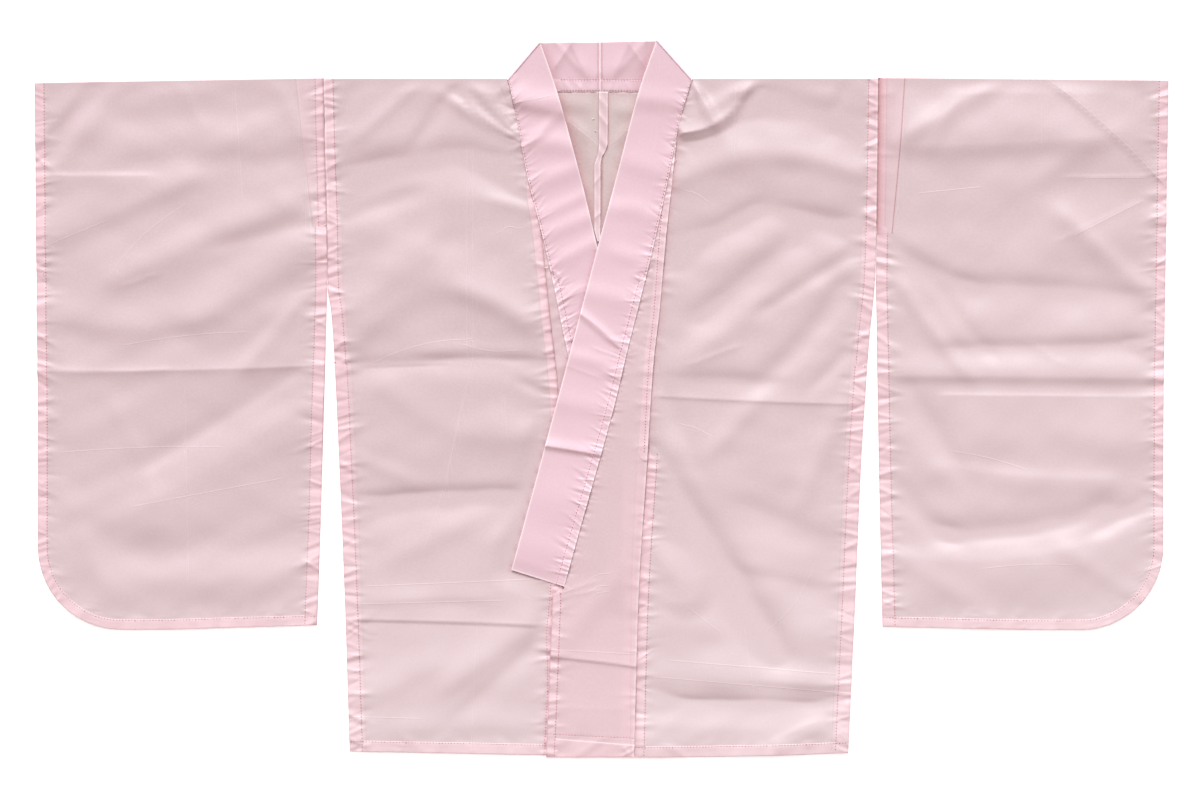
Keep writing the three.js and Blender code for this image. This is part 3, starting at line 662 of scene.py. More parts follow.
hemPucker = pucker(9, 0.6, 3.6, 7, 0.9)
seamPucker = pucker(6.5, 0.6, 2.5, 9, 0.35)
shortPucker = {**seamPucker, "reach": 3}
gentlePucker = pucker(12, 0.4, 3.0, 9, 0.2)
faintPucker = pucker(14, 0.2, 4.0, 9, 0.3)
tightPucker = pucker(4.2, 0.5, 1.3, 6, 0.35)


def puckers(edge, away, run, total):
    # ridges across a row of stitches, uneven in place, slant, width and reach
    p = edge["pucker"]
    rng = np.random.default_rng(edge["seed"])
    height = np.zeros_like(away)
    band = widthAt(edge["band"] or 0, run / total)
    at = 0.0
    while at < total:
        at += p["spacing"] * rng.uniform(0.45, 1.6)
        width = p["width"] * rng.uniform(0.55, 1.5)
        rise = p["rise"] * rng.uniform(0.25, 1.2) * rng.choice([1, 1, -0.8])
        rise = rise * (0.5 + 0.5 * width / p["width"])
        slant = p["lean"] + rng.normal(0, p["slant"])
        reach = p["reach"] * rng.uniform(0.3, 1.7)
        close = (np.abs(run - at) < 5 * width + 6) & (away < band + 3 * reach)
        past = np.maximum(0, away[close] - band[close]) / reach
        side = (run[close] - at - slant * away[close]) / (width * (1 + 0.5 * past))
        height[close] += rise * np.exp(-(side**2) - past**2)
    return height


def reachOf(x, y, path):
    return nearest(path, x, y)[0]


def bump(away, middle, width):
    return np.exp(-(((away - middle) / width) ** 2))


def rounding(away, radius):
    inside = np.clip(1 - away / radius, 0, 1)
    return radius * (1 - np.sqrt(1 - inside**2))


def softFloor(rise, floor=-0.6, ease=0.22):
    # cloth comes to rest on what lies under it, and goes no lower
    return floor + ease * np.logaddexp(0, (rise - floor) / ease)


def everywhere(x, y):
    return np.ones_like(x)


def nowhere(x, y):
    return np.zeros_like(x)


def clothPiece(look, edgings, top, calm=everywhere, pink=nowhere, shows=everywhere, loft=0):
    # all that the shape of a piece follows from; calm is the share of its folds that is left
    key = look["folds"]
    return {"top": top, "calm": calm, "pink": pink, "shows": shows, "loft": loft, "edgings": edgings,
            "folds": folds[key], "creases": creases.get(key, {}), "lines": pressedLines.get(key, {}),
            "slack": look["slack"], "seed": look["seed"]}


def plainFacts(shape):
    # what the shader needs to know at each point, where no edge is near
    plain = {"doubled": farInside, "allowance": farInside, "pink": 0, "seam": 0, "glint": 0, "rim": 0}
    for channel in "AB":
        plain["line" + channel] = lineReach
        plain["near" + channel] = 0
    return {key: np.full(shape, float(value)) for key, value in plain.items()}


# how cloth is shaped beside an edge, a row of stitches and the end of a seam
beside = {
    "loftRamp": (4, 60),  # slack cloth rises over this distance from an edge
    "shoulderRamp": (0, 70),
    "ditchWidth": 1.6,
    "stitchDepth": 0.12,
    "stitchWidth": 0.9,
    "turnedStep": 0.25,  # what turned cloth adds to the height
    "tipLength": 12,  # a band narrows to its tip over this length,
    "tipNarrowing": 8,  # by this much
    "rimWidth": 12,
}


def surface(piece, x, y):
    # the top of a piece at any point, its distance from a folded edge and its shader's facts
    found = [(e, *nearest(e["path"], x, y)) for e in piece["edgings"]]
    inside = np.full_like(x, 1e3)
    for e, away, run, total in found:
        if e["band"] or e["pucker"]:
            inside = np.minimum(inside, away)
    soft, sharp = foldHeight(piece, x, y)
    rise = soft + undulation(x, y, piece["seed"], piece["slack"])
    belowShoulder = smooth(shoulderY - y, *beside["shoulderRamp"])
    rise = rise + piece["loft"] * smooth(inside, *beside["loftRamp"]) * belowShoulder + sharp
    z = piece["top"](x, y) + softFloor(piece["calm"](x, y) * rise)
    edge = np.full_like(x, 1e3)
    facts = plainFacts(x.shape)
    facts["pink"] = piece["pink"](x, y)
    facts.update(lineChannels(piece["lines"], x, y))

    def raiseFact(key, value):
        facts[key] = np.maximum(facts[key], value)

    for e, away, run, total in found:
        share = run / total
        if e["band"]:
            tip = beside["tipNarrowing"] * (1 - smooth(run, 0, beside["tipLength"])) if e["tip"] else 0
            raiseFact("doubled", widthAt(e["band"], share) - tip - away)
        if e["allowance"]:
            into = np.where(share < 0.999, widthAt(e["allowance"], share) - away, farInside)
            raiseFact("allowance", into)
            raiseFact("rim", np.where(into > -beside["rimWidth"], e["rim"], 0))
        if e["pucker"]:
            z = z + puckers(e, away, run, total)
        if e["ditch"]:
            z = z - e["ditch"] * np.exp(-away / beside["ditchWidth"])
        if e["stitch"]:
            line = bump(away, widthAt(e["stitch"], share), beside["stitchWidth"])
            z = z - beside["stitchDepth"] * line
        if e["folded"]:
            edge = np.minimum(edge, away)
        # painted shade along the edge
        if e["shade"]:
            strength, reach = e["shade"]
            raiseFact("seam", strength * np.exp(-away / reach))
        # painted highlight along the edge
        if e["glint"]:
            strength, reach = e["glint"]
            raiseFact("glint", strength * bump(away, reach, reach))
    return z + beside["turnedStep"] * smooth(facts["doubled"], -1, 1), edge, facts


# meshes
sideSteps = [0, 0.25, 0.7, 1.5, 3, 5, 7, 8.5, 10, 11.5, 13, 15, 18, 22]
endSteps = [0, 0.25, 0.7, 1.5, 2.6]


def steps(length, near, step, far=None):
    # distances along a piece, close together near its two ends and even between them
    start = np.array(near, float)
    end = length - np.array(near if far is None else far, float)
    count = int((end[-1] - start[-1]) / (step * fineness))
    return np.unique(np.concatenate([start, np.linspace(start[-1], end[-1], max(count, 3)), end]))


def makeMesh(name, points, faces, material):
    mesh = bpy.data.meshes.new(name)
    mesh.from_pydata((points * mm).tolist(), [], faces)
    mesh.shade_smooth()
    mesh.materials.append(material)
    piece = bpy.data.objects.new(name, mesh)
    bpy.context.scene.collection.objects.link(piece)
    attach(piece, "root")
    return piece


def sew(name, node, outer, inner, facts, look, restsOn):
    # closes two grids of points into one thin wall, in the place of the frame's own piece
    rows, columns = outer.shape[:2]
    count = rows * columns
    points = np.concatenate([outer.reshape(-1, 3), inner.reshape(-1, 3)])
    index = np.arange(count).reshape(rows, columns)
    quads = np.stack([index[:-1, :-1], index[:-1, 1:], index[1:, 1:], index[1:, :-1]], -1).reshape(-1, 4)
    ring = np.concatenate([index[0, :-1], index[:-1, -1], index[-1, :0:-1], index[:0:-1, 0]])
    ahead = np.roll(ring, -1)
    rim = np.stack([ring, ring + count, ahead + count, ahead], -1)
    faces = np.concatenate([quads, quads[:, ::-1] + count, rim])
    a, b, c, d = (points[faces[:, k]] for k in range(4))
    volume = np.einsum("ij,ij->", a, np.cross(b, c)) + np.einsum("ij,ij->", a, np.cross(c, d))
    if volume < 0:
        faces = faces[:, ::-1]
    piece = makeMesh(name, points, faces.tolist(), materials[look])
    for key, values in facts.items():
        layer = piece.data.attributes.new(key, "FLOAT", "POINT")
        layer.data.foreach_set("value", np.tile(values.ravel(), 2).astype(np.float32))
    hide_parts(node)
    print(name, len(faces), "faces")


def twoFaces(x, y, z, edge, thick):
    # a flat stretch's upper and lower face, drawn together at a folded edge
    drawn = rounding(edge, thick / 2 - 0.02)
    return np.stack([x, y, z - drawn], -1), np.stack([x, y, z - thick + drawn], -1)


panelTurn = stack["wall"] + stack["gap"] / 2  # outer radius of the fold along a panel's top


def overTop(x, y, degrees):
    # the two faces of the fold along a panel's top, from its uppermost row
    angles = np.radians(degrees)[:, None]
    level = 0 * x[:1]

    def ring(radius):
        return np.stack([x[:1] + 0 * angles, y[:1] + radius * np.cos(angles),
                         panelTurn + radius * np.sin(angles) + level], -1)

    return ring(panelTurn), ring(panelTurn - stack["cloth"])


def factsOver(facts, count, *more):
    # facts of a face from its low end up, of the rows that turn over its top, and of what follows
    parts = [{key: values[::-1] for key, values in facts.items()},
             {key: np.repeat(values[:1], count, 0) for key, values in facts.items()}, *more]
    return {key: np.concatenate([part[key] for part in parts]) for key in facts}


def overPanel(piece, place, size, pitch, turn, lowEnd=None):
    # a panel's two faces from its low end up and over the fold along its top, its facts and its columns
    width, height = size
    u = (steps(width, sideSteps, pitch[0]) / width)[None, :]
    v = (steps(height, endSteps, pitch[1], lowEnd) / height)[:, None]
    x, y = place(u, v)
    z, edge, facts = surface(piece, x, y)
    upper, lower = twoFaces(x, y, z, edge, stack["cloth"])
    turnOuter, turnInner = overTop(x, y, turn)
    return [upper[::-1], turnOuter], [lower[::-1], turnInner], facts, u


stitchPitch = 3.4
stitchRows = []


def stitchPiece(piece):
    # keeps each row of stitches of a piece, with the height of its cloth
    for e in piece["edgings"]:
        if not e["stitch"]:
            continue
        share = np.linspace(0, 1, len(e["path"]))
        path = resample(inset(e["path"], widthAt(e["stitch"], share) * e["inward"]), stitchPitch)
        x, y = path.T
        stitchRows.append((path, surface(piece, x, y)[0], piece["shows"](x, y)))


# how the left half laps over the right one
lap = {"margin": 12, "ramp": 26, "neckRamp": 40}


def cover(outside, margin, ramp):
    return 1 - smooth(outside, margin, margin + ramp)


def lapHeight(x, y):
    # underside of the left half, which laps over the right front, strip and collar
    seam, fold = along(collarSeam["right"], y), along(collarFold["right"], y)
    end = collarSeam["right"]["y"][-1]
    sideways = np.maximum(0, np.maximum(seam - x, x - fold))
    collar = cover(np.hypot(sideways, np.maximum(0, end - y)), lap["margin"], lap["ramp"])
    edge = np.where(y > end, seam, along(stripEdge["right"], y))
    belowNeck = cover(y - stripSeam["right"]["y"][0], 0, lap["neckRamp"])
    onFront = cover(x - edge, lap["margin"], lap["ramp"]) * belowNeck
    height = onBack + (onRightFront - onBack) * np.maximum(onFront, collar)
    return height + (onRightCollar - onRightFront) * collar


def underside(side, x, y):
    return lapHeight(x, y) if side == "left" else np.full_like(x, onBack)


def lapEdge():
    # the left half's free edge: down the collar's fold, across its end and down the strip
    fold = downPath(collarFold["left"], 165, collarFold["left"]["y"][-1], -0.4)
    end = [[along(collarSeam["left"], -211.0), -212.0]]
    return np.concatenate([fold, end, downPath(stripEdge["left"], -219, stripEndY, -0.4)])


def rightHalfShows(x, y):
    # not under the left collar and strip
    return np.where(y > -205, x < along(collarFold["left"], y) - 1, x < along(stripEdge["left"], y) - 1)


shown = {"left": everywhere, "right": rightHalfShows}


makeStudio(studio)
materials = {
    "panel": satin("panelSatin", color(219, 198, 202), color(240, 206, 214)),
    "strip": satin("stripSatin", color(222, 197, 202), color(236, 204, 212), 0.1),
    "collar": satin("collarSatin", color(237, 204, 216), color(241, 209, 221), 0.0),
    "inside": satin("insideSatin", color(215, 198, 197), color(233, 204, 210)),
    "thread": thread("pinkThread", color(216, 148, 160)),
    "whiteThread": thread("paleThread", color(250, 240, 240)),
}
panelLoft = 1.7
sewnGap = 0.03


# sleeves, each one cloth folded along its top
sleeveLook = {
    "right": {"folds": "sleeveRight", "innerBand": (12.5, 13.5), "allowance": (31.0, 15.0), "rim": 0.15,
              "shade": (0.9, 0.9), "ditch": 0.9, "stitch": 9.0, "pucker": seamPucker, "slack": 0.5,
              "seed": 11, "seamEndY": 192},
    "left": {"folds": "sleeveLeft", "innerBand": (12.0, 14.0), "allowance": (29.5, 24.0, 17.0), "rim": 0.8,
             "shade": (1.0, 4.6), "ditch": 1.5, "stitch": None, "pucker": faintPucker, "slack": 0.5,
             "seed": 12, "seamEndY": 184},
}
sleeveSize = {"cuffBand": 11.0, "seamBand": 9.0, "flat": (0.325, 1.235), "sewnShare": 0.97, "innerX": 309,
              "cuffTaper": 1.4, "hemTaper": 1.8}  # cuff and hem reach their outer line early


def cornerAt(cut, angle):
    r = cut["radius"]
    return np.stack([cut["cuffHemX"] - r + r * np.cos(angle), cut["hemOuterY"] + r - r * np.sin(angle)])


def cuffX(cut, share):
    return lerp(cut["cuffTopX"], cut["cuffHemX"], np.clip(sleeveSize["cuffTaper"] * share, 0, 1))


def hemY(cut, share):
    return lerp(cut["hemInnerY"], cut["hemOuterY"], np.clip(sleeveSize["hemTaper"] * share, 0, 1))


def cuffPath(side, count=24):
    # down the cuff, round the corner and in along the hem
    cut = sleeveCut[side]
    top = cut["topOuterY"]
    cornerX, cornerY = cut["cuffHemX"] - cut["radius"], cut["hemOuterY"] + cut["radius"]
    y = np.linspace(top, cornerY, count)
    cuff = np.column_stack([cuffX(cut, (top - y) / (top - cornerY)), y])
    corner = cornerAt(cut, np.linspace(0, math.pi / 2, count)[1:-1]).T
    x = np.linspace(cornerX, along(cut["inner"], cut["hemInnerY"]), count)
    low = np.column_stack([x, hemY(cut, (x - x[-1]) / (cut["cuffHemX"] - x[-1]))])
    return np.concatenate([cuff, corner, low]) * [sideSign[side], 1]


def sleeve(side):
    cut = sleeveCut[side]
    look = sleeveLook[side]
    size = sleeveSize
    sign = sideSign[side]
    seed = look["seed"]
    r = cut["radius"]
    halfArc = math.pi / 4 * r  # the corner's arc is shared by the cuff edge and the hem

    def topY(u):
        return lerp(cut["topInnerY"], cut["topOuterY"], u) - panelTurn

    def innerAt(v):
        y = lerp(topY(0), cut["hemInnerY"], v)
        sewn = smooth(y, look["seamEndY"], look["seamEndY"] + 15)
        return np.stack([along(cut["inner"], y) - 0.35 * sewn, y])

    def topAt(u):
        return np.stack([lerp(innerAt(0.0)[0], cut["cuffTopX"], u), topY(u)])

    def cuffAt(v):
        straight = topY(1) - cut["hemOuterY"] - r
        run = v * (straight + halfArc)
        line = np.stack([cuffX(cut, run / straight), topY(1) - run])
        return np.where(run > straight, cornerAt(cut, np.maximum(0, run - straight) / r), line)

    def hemAt(u):
        start = innerAt(1.0)[0]
        straight = cut["cuffHemX"] - r - start
        run = u * (straight + halfArc)
        line = np.stack([start + run, hemY(cut, u)])
        return np.where(run > straight, cornerAt(cut, math.pi / 2 - np.maximum(0, run - straight) / r), line)

    def place(u, v):
        edges = lerp(topAt(u), hemAt(u), v) + lerp(innerAt(v), cuffAt(v), u)
        corners = topAt(0.0), topAt(1.0), hemAt(np.array(0.0)), hemAt(np.array(1.0))
        ends = [p[:, None, None] for p in corners]
        x, y = edges - lerp(lerp(ends[0], ends[1], u), lerp(ends[2], ends[3], u), v)
        return sign * x, y

    innerTop = downPath(cut["inner"], cut["topInnerY"], look["seamEndY"]) * [sign, 1]
    innerLow = downPath(cut["inner"], look["seamEndY"], cut["hemInnerY"]) * [sign, 1]
    topFold = np.array([[sign * 300, cut["topInnerY"]], [sign * cut["cuffTopX"], cut["topOuterY"]]])
    cuffBand, innerBand = size["cuffBand"], look["innerBand"]
    piece = clothPiece(
        look,
        [
            # painted shade along the edges, along the sewn seam and under the top fold
            edging(cuffPath(side), -sign, cuffBand, cuffBand - 0.6, pucker=seamPucker, seed=seed + 1),
            edging(innerTop, sign, size["seamBand"], look["stitch"], allowance=look["allowance"],
                   rim=look["rim"], pucker=look["pucker"], ditch=look["ditch"], shade=look["shade"],
                   seed=seed + 2),
            edging(innerLow, sign, innerBand, innerBand, pucker=seamPucker, seed=seed + 3),
            shadeUnder(topFold, 0.4, 0.8),
        ],
        top=lambda x, y: np.full_like(x, onBack + stack["wall"]),
        calm=lambda x, y: smooth(cut["topInnerY"] - y, 0, 20),
        loft=panelLoft,
    )
    reach = (cut["cuffTopX"] - size["innerX"], cut["topInnerY"] - cut["hemInnerY"])
    turn = [60, 30, 0, -30, -60]
    lowEnd = endSteps + [5, 7, 9, 11, 13]
    outer, inner, facts, u = overPanel(piece, place, reach, (5.2, 1.4), turn, lowEnd)
    # the lower layer lies flat, and needs few rows
    backX, backY = place(u, np.array([0, 0.02, 0.1, 0.3, 0.5, 0.7, 0.9, 0.98, 1.0])[:, None])
    backOuter = np.stack([backX, backY, 0 * backX], -1)
    outer = np.concatenate([*outer, backOuter])
    inner = np.concatenate([*inner, backOuter + [0, 0, stack["cloth"]]])
    facts = factsOver(facts, len(turn), plainFacts(backX.shape))
    sew("sleeve" + side.capitalize(), "sleeve_" + side, outer, inner, facts, "panel", [])
    stitchPiece(piece)


# fronts; turnRoom is left for the collar's turn at the shoulder, and from turnedY down the seam with
# the strip is turned the other way
frontLook = {
    "right": {"folds": "frontRight", "slack": 0.45, "seed": 31, "seamEndY": 194, "ventEndY": 39,
              "turnRoom": 0.6, "pucker": seamPucker, "hemEnds": (-282, -45.2)},
    "left": {"folds": "frontLeft", "slack": 0.45, "seed": 32, "seamEndY": 184, "ventEndY": 36,
             "turnRoom": 0.5, "pucker": shortPucker, "hemEnds": (36.9, 276), "turnedY": -60},
}


def front(side):
    look = frontLook[side]
    sign = sideSign[side]
    seed = look["seed"]
    seamRows = stripSeam[side]
    tip = seamRows["y"][0]

    def innerEdge(y):
        seam = np.where(y > tip, along(collarSeam[side], y), along(seamRows, y))
        return seam + sign * (sewnGap + look["turnRoom"] * smooth(y, 338, shoulderY))

    def place(u, v):
        hemX = lerp(along(seamRows, stripEndY), along(bodySide[side], sideEndY), u)
        y = lerp(shoulderY - panelTurn, along(hem[side], hemX, "x", "y"), v)
        return lerp(innerEdge(y), along(bodySide[side], y), u), y

    def top(x, y):
        return underside(side, x, y) + stack["wall"]

    def calm(x, y):
        # the right front keeps few folds where the left half lies on it
        left = smooth(shoulderY - y, 0, 18)
        if side == "left":
            return left
        path = lapEdge()
        covered = x > np.interp(-y, -path[:, 1], path[:, 0])
        toCover = np.where(covered, 0, reachOf(x, y, path))
        return left * np.maximum(smooth(toCover, 3, 26), smooth(y, 60, 130))

    def sewnEdge(start, end, width, offset, **more):
        path = downPath(bodySide[side], start, end)
        return edging(path, -sign, width, width, seed=seed + offset, **{"pucker": seamPucker, **more})

    def innerSeam(rows, start, end, inward, band, offset, **more):
        path = downPath(rows, start, end, sign * 0.15)
        more = {"pucker": seamPucker, "folded": False, "seed": seed + offset, **more}
        return edging(path, inward, band, more.pop("stitch", None), **more)

    shoulder = np.array([[sign * 100, shoulderY], [sign * 312, shoulderY]])
    # the edges carry painted shade, and the side seam a painted highlight
    edgings = [
        sewnEdge(shoulderY, look["seamEndY"], (10.5, 11.5), 1, pucker=look["pucker"], ditch=0.5,
                 shade=(0.7, 0.7), glint=(0.5, 0.9)),
        sewnEdge(look["seamEndY"], look["ventEndY"], (11.5, 12.5), 2, allowance=17),
        sewnEdge(look["ventEndY"], sideEndY, (13.5, 14.5), 3, allowance=19),
        innerSeam(collarSeam[side], 352, tip, sign, None, 4, shade=(0.4, 1.0)),
        edging(overPath(hem[side], *look["hemEnds"]), 1, 12.0, 11.4, pucker=hemPucker, seed=seed + 5),
        shadeUnder(shoulder, 0.4, 0.8),
    ]
    if side == "left":
        edgings += [
            innerSeam(seamRows, look["turnedY"], stripEndY, 1, 10.5, 6, stitch=10.5, tip=True,
                      folded=True, ditch=0.7, shade=(0.6, 2.4)),
            innerSeam(seamRows, tip, look["turnedY"], 1, None, 7, pucker=gentlePucker, ditch=0.9,
                      shade=(0.6, 3.0)),
        ]
    else:
        besideCollar = downPath(collarSeam[side], 262, tip)
        low = downPath(seamRows, -190, stripEndY)
        edgings += [
            edging(besideCollar, -1, (-3, 6, 9.5), folded=False, shade=None),
            edging(low, -1, (13, 19, 17, 20), (12, 18, 16, 19), pucker=seamPucker, folded=False, shade=None,
                   seed=seed + 8),
            innerSeam(seamRows, tip, stripEndY, -1, 9.5, 6, ditch=0.7, shade=(0.8, 1.0)),
            shadeUnder(lapEdge(), dip=0.4),
        ]
    piece = clothPiece(look, edgings, top, calm, shows=shown[side], loft=panelLoft)
    turn = [68, 45, 22, 8]
    outer, inner, facts, _ = overPanel(piece, place, (250, 757), (5.0, 1.4), turn)
    outer, inner = np.concatenate(outer), np.concatenate(inner)
    facts = factsOver(facts, len(turn))
    sew("front" + side.capitalize(), "front_" + side, outer, inner, facts, "panel",
        ["back_" + side])
    stitchPiece(piece)


# backs, flat on the table
backLook = {"folds": "back", "slack": 0.3, "seed": 51, "neckSeed": 52, "insideHem": 1.2, "insideSide": 0.4}


def back(side):
    look = backLook
    sign = sideSign[side]
    centre = centreX + sign * stack["gap"] / 2
    shoulder = sign * along(bodySide[side], shoulderY)

    def place(u, v):
        top = along(backNeck, lerp(sign * centre, shoulder, u), "x", "y") - stack["gap"]
        hemX = lerp(0, along(bodySide[side], -398), u)
        y = lerp(top, along(hem[side], hemX, "x", "y") + look["insideHem"], v)
        return lerp(centre, along(bodySide[side], y) - sign * look["insideSide"], u), y

    def besideAllowance(key, moved):
        return np.column_stack([allowanceEdges[key] + moved, allowanceEdges["y"]])

    neck = overPath({"x": backNeck["x"][:4] * sign, "y": backNeck["y"][:4]}, sign * 1.0, sign * 90)
    piece = clothPiece(
        look,
        [
            # painted shade along the neck seam, beside the collar folds, beside the allowance and down from
            # the neck's point
            edging(neck, -sign, pucker=gentlePucker, folded=False, ditch=0.2, shade=(0.35, 5.0),
                   seed=look["neckSeed"]),
            shadeUnder(downPath(collarFold["left"], 345, 165), 0.5, 4.5),
            shadeUnder(downPath(collarFold["right"], 345, 165), 0.9, 6.5),
            shadeUnder(besideAllowance("to", 0.3), 0.7, 1.2),
            shadeUnder(besideAllowance("from", -0.3), 0.5, 1.0),
            shadeUnder(np.array([[0.6, 272.0], [1.0, 175.0]]), 0.8, 0.9),
        ],
        top=lambda x, y: np.full_like(x, stack["wall"] - 0.1),
        calm=lambda x, y: (1 - smooth(-y, -170, -150)) * (0.2 + 0.8 * smooth(np.abs(x), 8, 22)),
    )
    # close together where the neck shows the panel, and far apart below
    u = np.append(np.concatenate([np.arange(0, 56, 2.2 * fineness), np.arange(58, 308, 9)]) / 308, 1.0)
    v = np.append(np.concatenate([np.arange(0, 130, 2.2 * fineness), np.arange(132, 750, 14)]) / 756, 1.0)
    x, y = place(u[None, :], v[:, None])
    z, edge, facts = surface(piece, x, y)
    upper, lower = np.stack([x, y, z], -1), np.stack([x, y, 0 * x], -1)
    sew("back" + side.capitalize(), "back_" + side, upper, lower, facts, "inside", [])


# the centre-back seam allowance, pressed to one side and crossing over lower down
allowanceEdges = table("y from to", (343.4, -3, 7.3), (300, -3, 7.2), (284, -3, 7), (277, -3.6, 4.6),
                       (271, -4.8, 0.9), (262, -8.4, -0.8), (188, -8.2, -0.9), (175, -4.6, -0.9))
allowanceLook = {"thick": 0.5, "above": 0.7, "crossingY": 280, "flat": (0.012, 0.146)}
allowanceCreases = table("middle lean rise", (333, 1.1, 0.6), (314, 1.2, 0.9), (251, -1.3, 0.7),
                         (209, -0.9, 0.8))


def seamAllowance():
    look = allowanceLook
    rows = allowanceEdges["y"]
    y = np.linspace(rows[0], rows[-1], int(110 / fineness))[:, None]
    start, end = (np.interp(-y, -rows, allowanceEdges[key]) for key in ("from", "to"))
    s = np.array([0, 0.03, 0.08, 0.2, 0.35, 0.5, 0.65, 0.8, 0.92, 0.97, 1.0])
    x = lerp(start, end, s[None, :])
    y = np.repeat(y, len(s), 1)
    away = np.minimum(x - start, end - x)
    twist = bump(y, look["crossingY"], 9)
    z = onBack + look["above"] + (0.1 + 0.4 * twist) * np.cos(y / 3.1 + x * 0.5)
    for middle, lean, rise in zip(*allowanceCreases.values()):
        z = z + rise * np.exp(-np.abs((y - middle + x * lean) / 3))
    z = z + 0.12 * np.sin(y / 6.3 + x * 0.3)
    upper, lower = twoFaces(x, y, z, away, look["thick"])
    facts = plainFacts(x.shape)
    facts["doubled"] = np.full(x.shape, 2.0)
    # painted shade along the strip's edges and a painted highlight just inside them
    facts["seam"] = 0.5 * np.exp(-away / 0.5)
    facts["glint"] = 0.6 * bump(away, 1.0, 0.6)
    sew("backSeamAllowance", "back_seam_allowance", upper, lower, facts, "inside",
        ["back_left", "back_right"])


# overlap strips; sewnShare is what the taper to their tips leaves of the flat size
stripLook = {
    "left": {"tipY": 294, "folds": "stripLeft", "seed": 71, "slack": 0.16, "rowStep": 1.3,
             "flat": (0.1, 0.69), "restsOn": "front_right", "turnedY": -60},
    "right": {"tipY": 183, "folds": "stripRight", "seed": 72, "slack": 0.16, "rowStep": 2.6,
              "flat": (0.105, 0.56), "restsOn": "back_right"},
}


def strip(side):
    look = stripLook[side]
    sign = sideSign[side]
    seed = look["seed"]
    tipY = look["tipY"]
    collarEnd = collarSeam[side]["y"][-1]
    freeY = collarEnd - 9
    endY = hem[side]["y"][0 if side == "left" else -1]

    def freeEdge(y):
        # just below the collar's end the free edge steps out past the collar's seam
        underCollar = along(collarSeam[side], y) + sign * sewnGap
        return lerp(underCollar, along(stripEdge[side], y), smooth(-y, -collarEnd + 1, -freeY))

    def top(x, y):
        return underside(side, x, y) + stack["wall"]

    def pink(x, y):
        # more cloth lies under the left strip lower down, and along its seam
        if side == "right":
            return np.full_like(x, 0.1)
        return smooth(-y, 140, 330) * 0.45 + 0.1 + smooth(x, 22.5, 24.5) * smooth(-y, 60, 110) * 0.45

    def seam(start, end):
        return downPath(stripSeam[side], start, end, -sign * 0.15)

    collarPart = downPath(collarSeam[side], tipY, collarEnd, sign * stack["gap"])
    # painted shade along the edges and beside the collar, and on the left strip a painted highlight along
    # the seam
    edgings = [
        edging(downPath(stripEdge[side], freeY, endY), sign, 9.5, 9.0, pucker=seamPucker, seed=seed + 1),
        edging(collarPart, sign, pucker=tightPucker, folded=False, shade=(0.4, 0.8), seed=seed + 2),
    ]
    if side == "left":
        bottom = straightPath([[freeEdge(np.array(endY)), endY], [along(stripSeam[side], endY), endY]])
        edgings += [
            edging(seam(tipY, look["turnedY"]), -1, (9.0, 10.5), (9.0, 4.0), tip=True, pucker=gentlePucker,
                   glint=(0.45, 0.9), seed=seed + 3),
            edging(seam(look["turnedY"], endY), -1, allowance=(12.0, 4.0), pucker=gentlePucker,
                   glint=(0.45, 0.9), seed=seed + 4),
            edging(bottom, 1, (21.5, 13.5), (26.5, 21.5), pucker=hemPucker, seed=seed + 5),
        ]
    else:
        edgings += [
            edging(seam(tipY, endY), 1, pucker=gentlePucker, folded=False, ditch=0.6, seed=seed + 3),
            shadeUnder(lapEdge(), dip=0.3),
        ]
    piece = clothPiece(look, edgings, top, pink=pink, shows=shown[side])
    width = 95
    s = (steps(width, sideSteps[:11], 5) / width)[None, :]
    y = (tipY - steps(tipY - endY, endSteps, look["rowStep"]))[:, None] + 0 * s
    x = lerp(freeEdge(y), along(stripSeam[side], y) - sign * sewnGap, s)
    z, edge, facts = surface(piece, x, y)
    upper, lower = twoFaces(x, y, z, edge, stack["cloth"])
    sew("strip" + side.capitalize(), "okumi_" + side, upper, lower, facts, "strip", [look["restsOn"]])
    stitchPiece(piece)


# collar halves: front length, slanted turn at the shoulder, then the band behind the neck
collarLook = {
    "left": {"seamY": -210.5, "foldY": -192, "folds": "collarLeft", "seed": 91, "slack": 0.2,
             "pucker": {**tightPucker, "lean": -0.15, "reach": 8}, "facetSpread": 1.4},
    "right": {"seamY": -214, "foldY": -198, "folds": "collarRight", "seed": 92, "slack": 0.2,
              "pucker": {**tightPucker, "lean": -0.5, "reach": 11}, "facetSpread": 1},
}
collarTurn = stack["collarWall"] + stack["gap"] / 2
pressedEnd = {"depth": 0.75, "reach": 16}
band = {"reach": 95, "topY": 399.0, "seamWidth": 12.4, "stitchLines": (1.4, 13.2), "stitchPitch": 3.2}
bandFacets = table("away middle lean spread rise", (22, 376, 0.5, 8, 2.0), (8, 358, -1.2, 5, 1.0),
                   (44, 380, -0.7, 8, 1.6), (17, 362, 0.9, 4, 0.9))


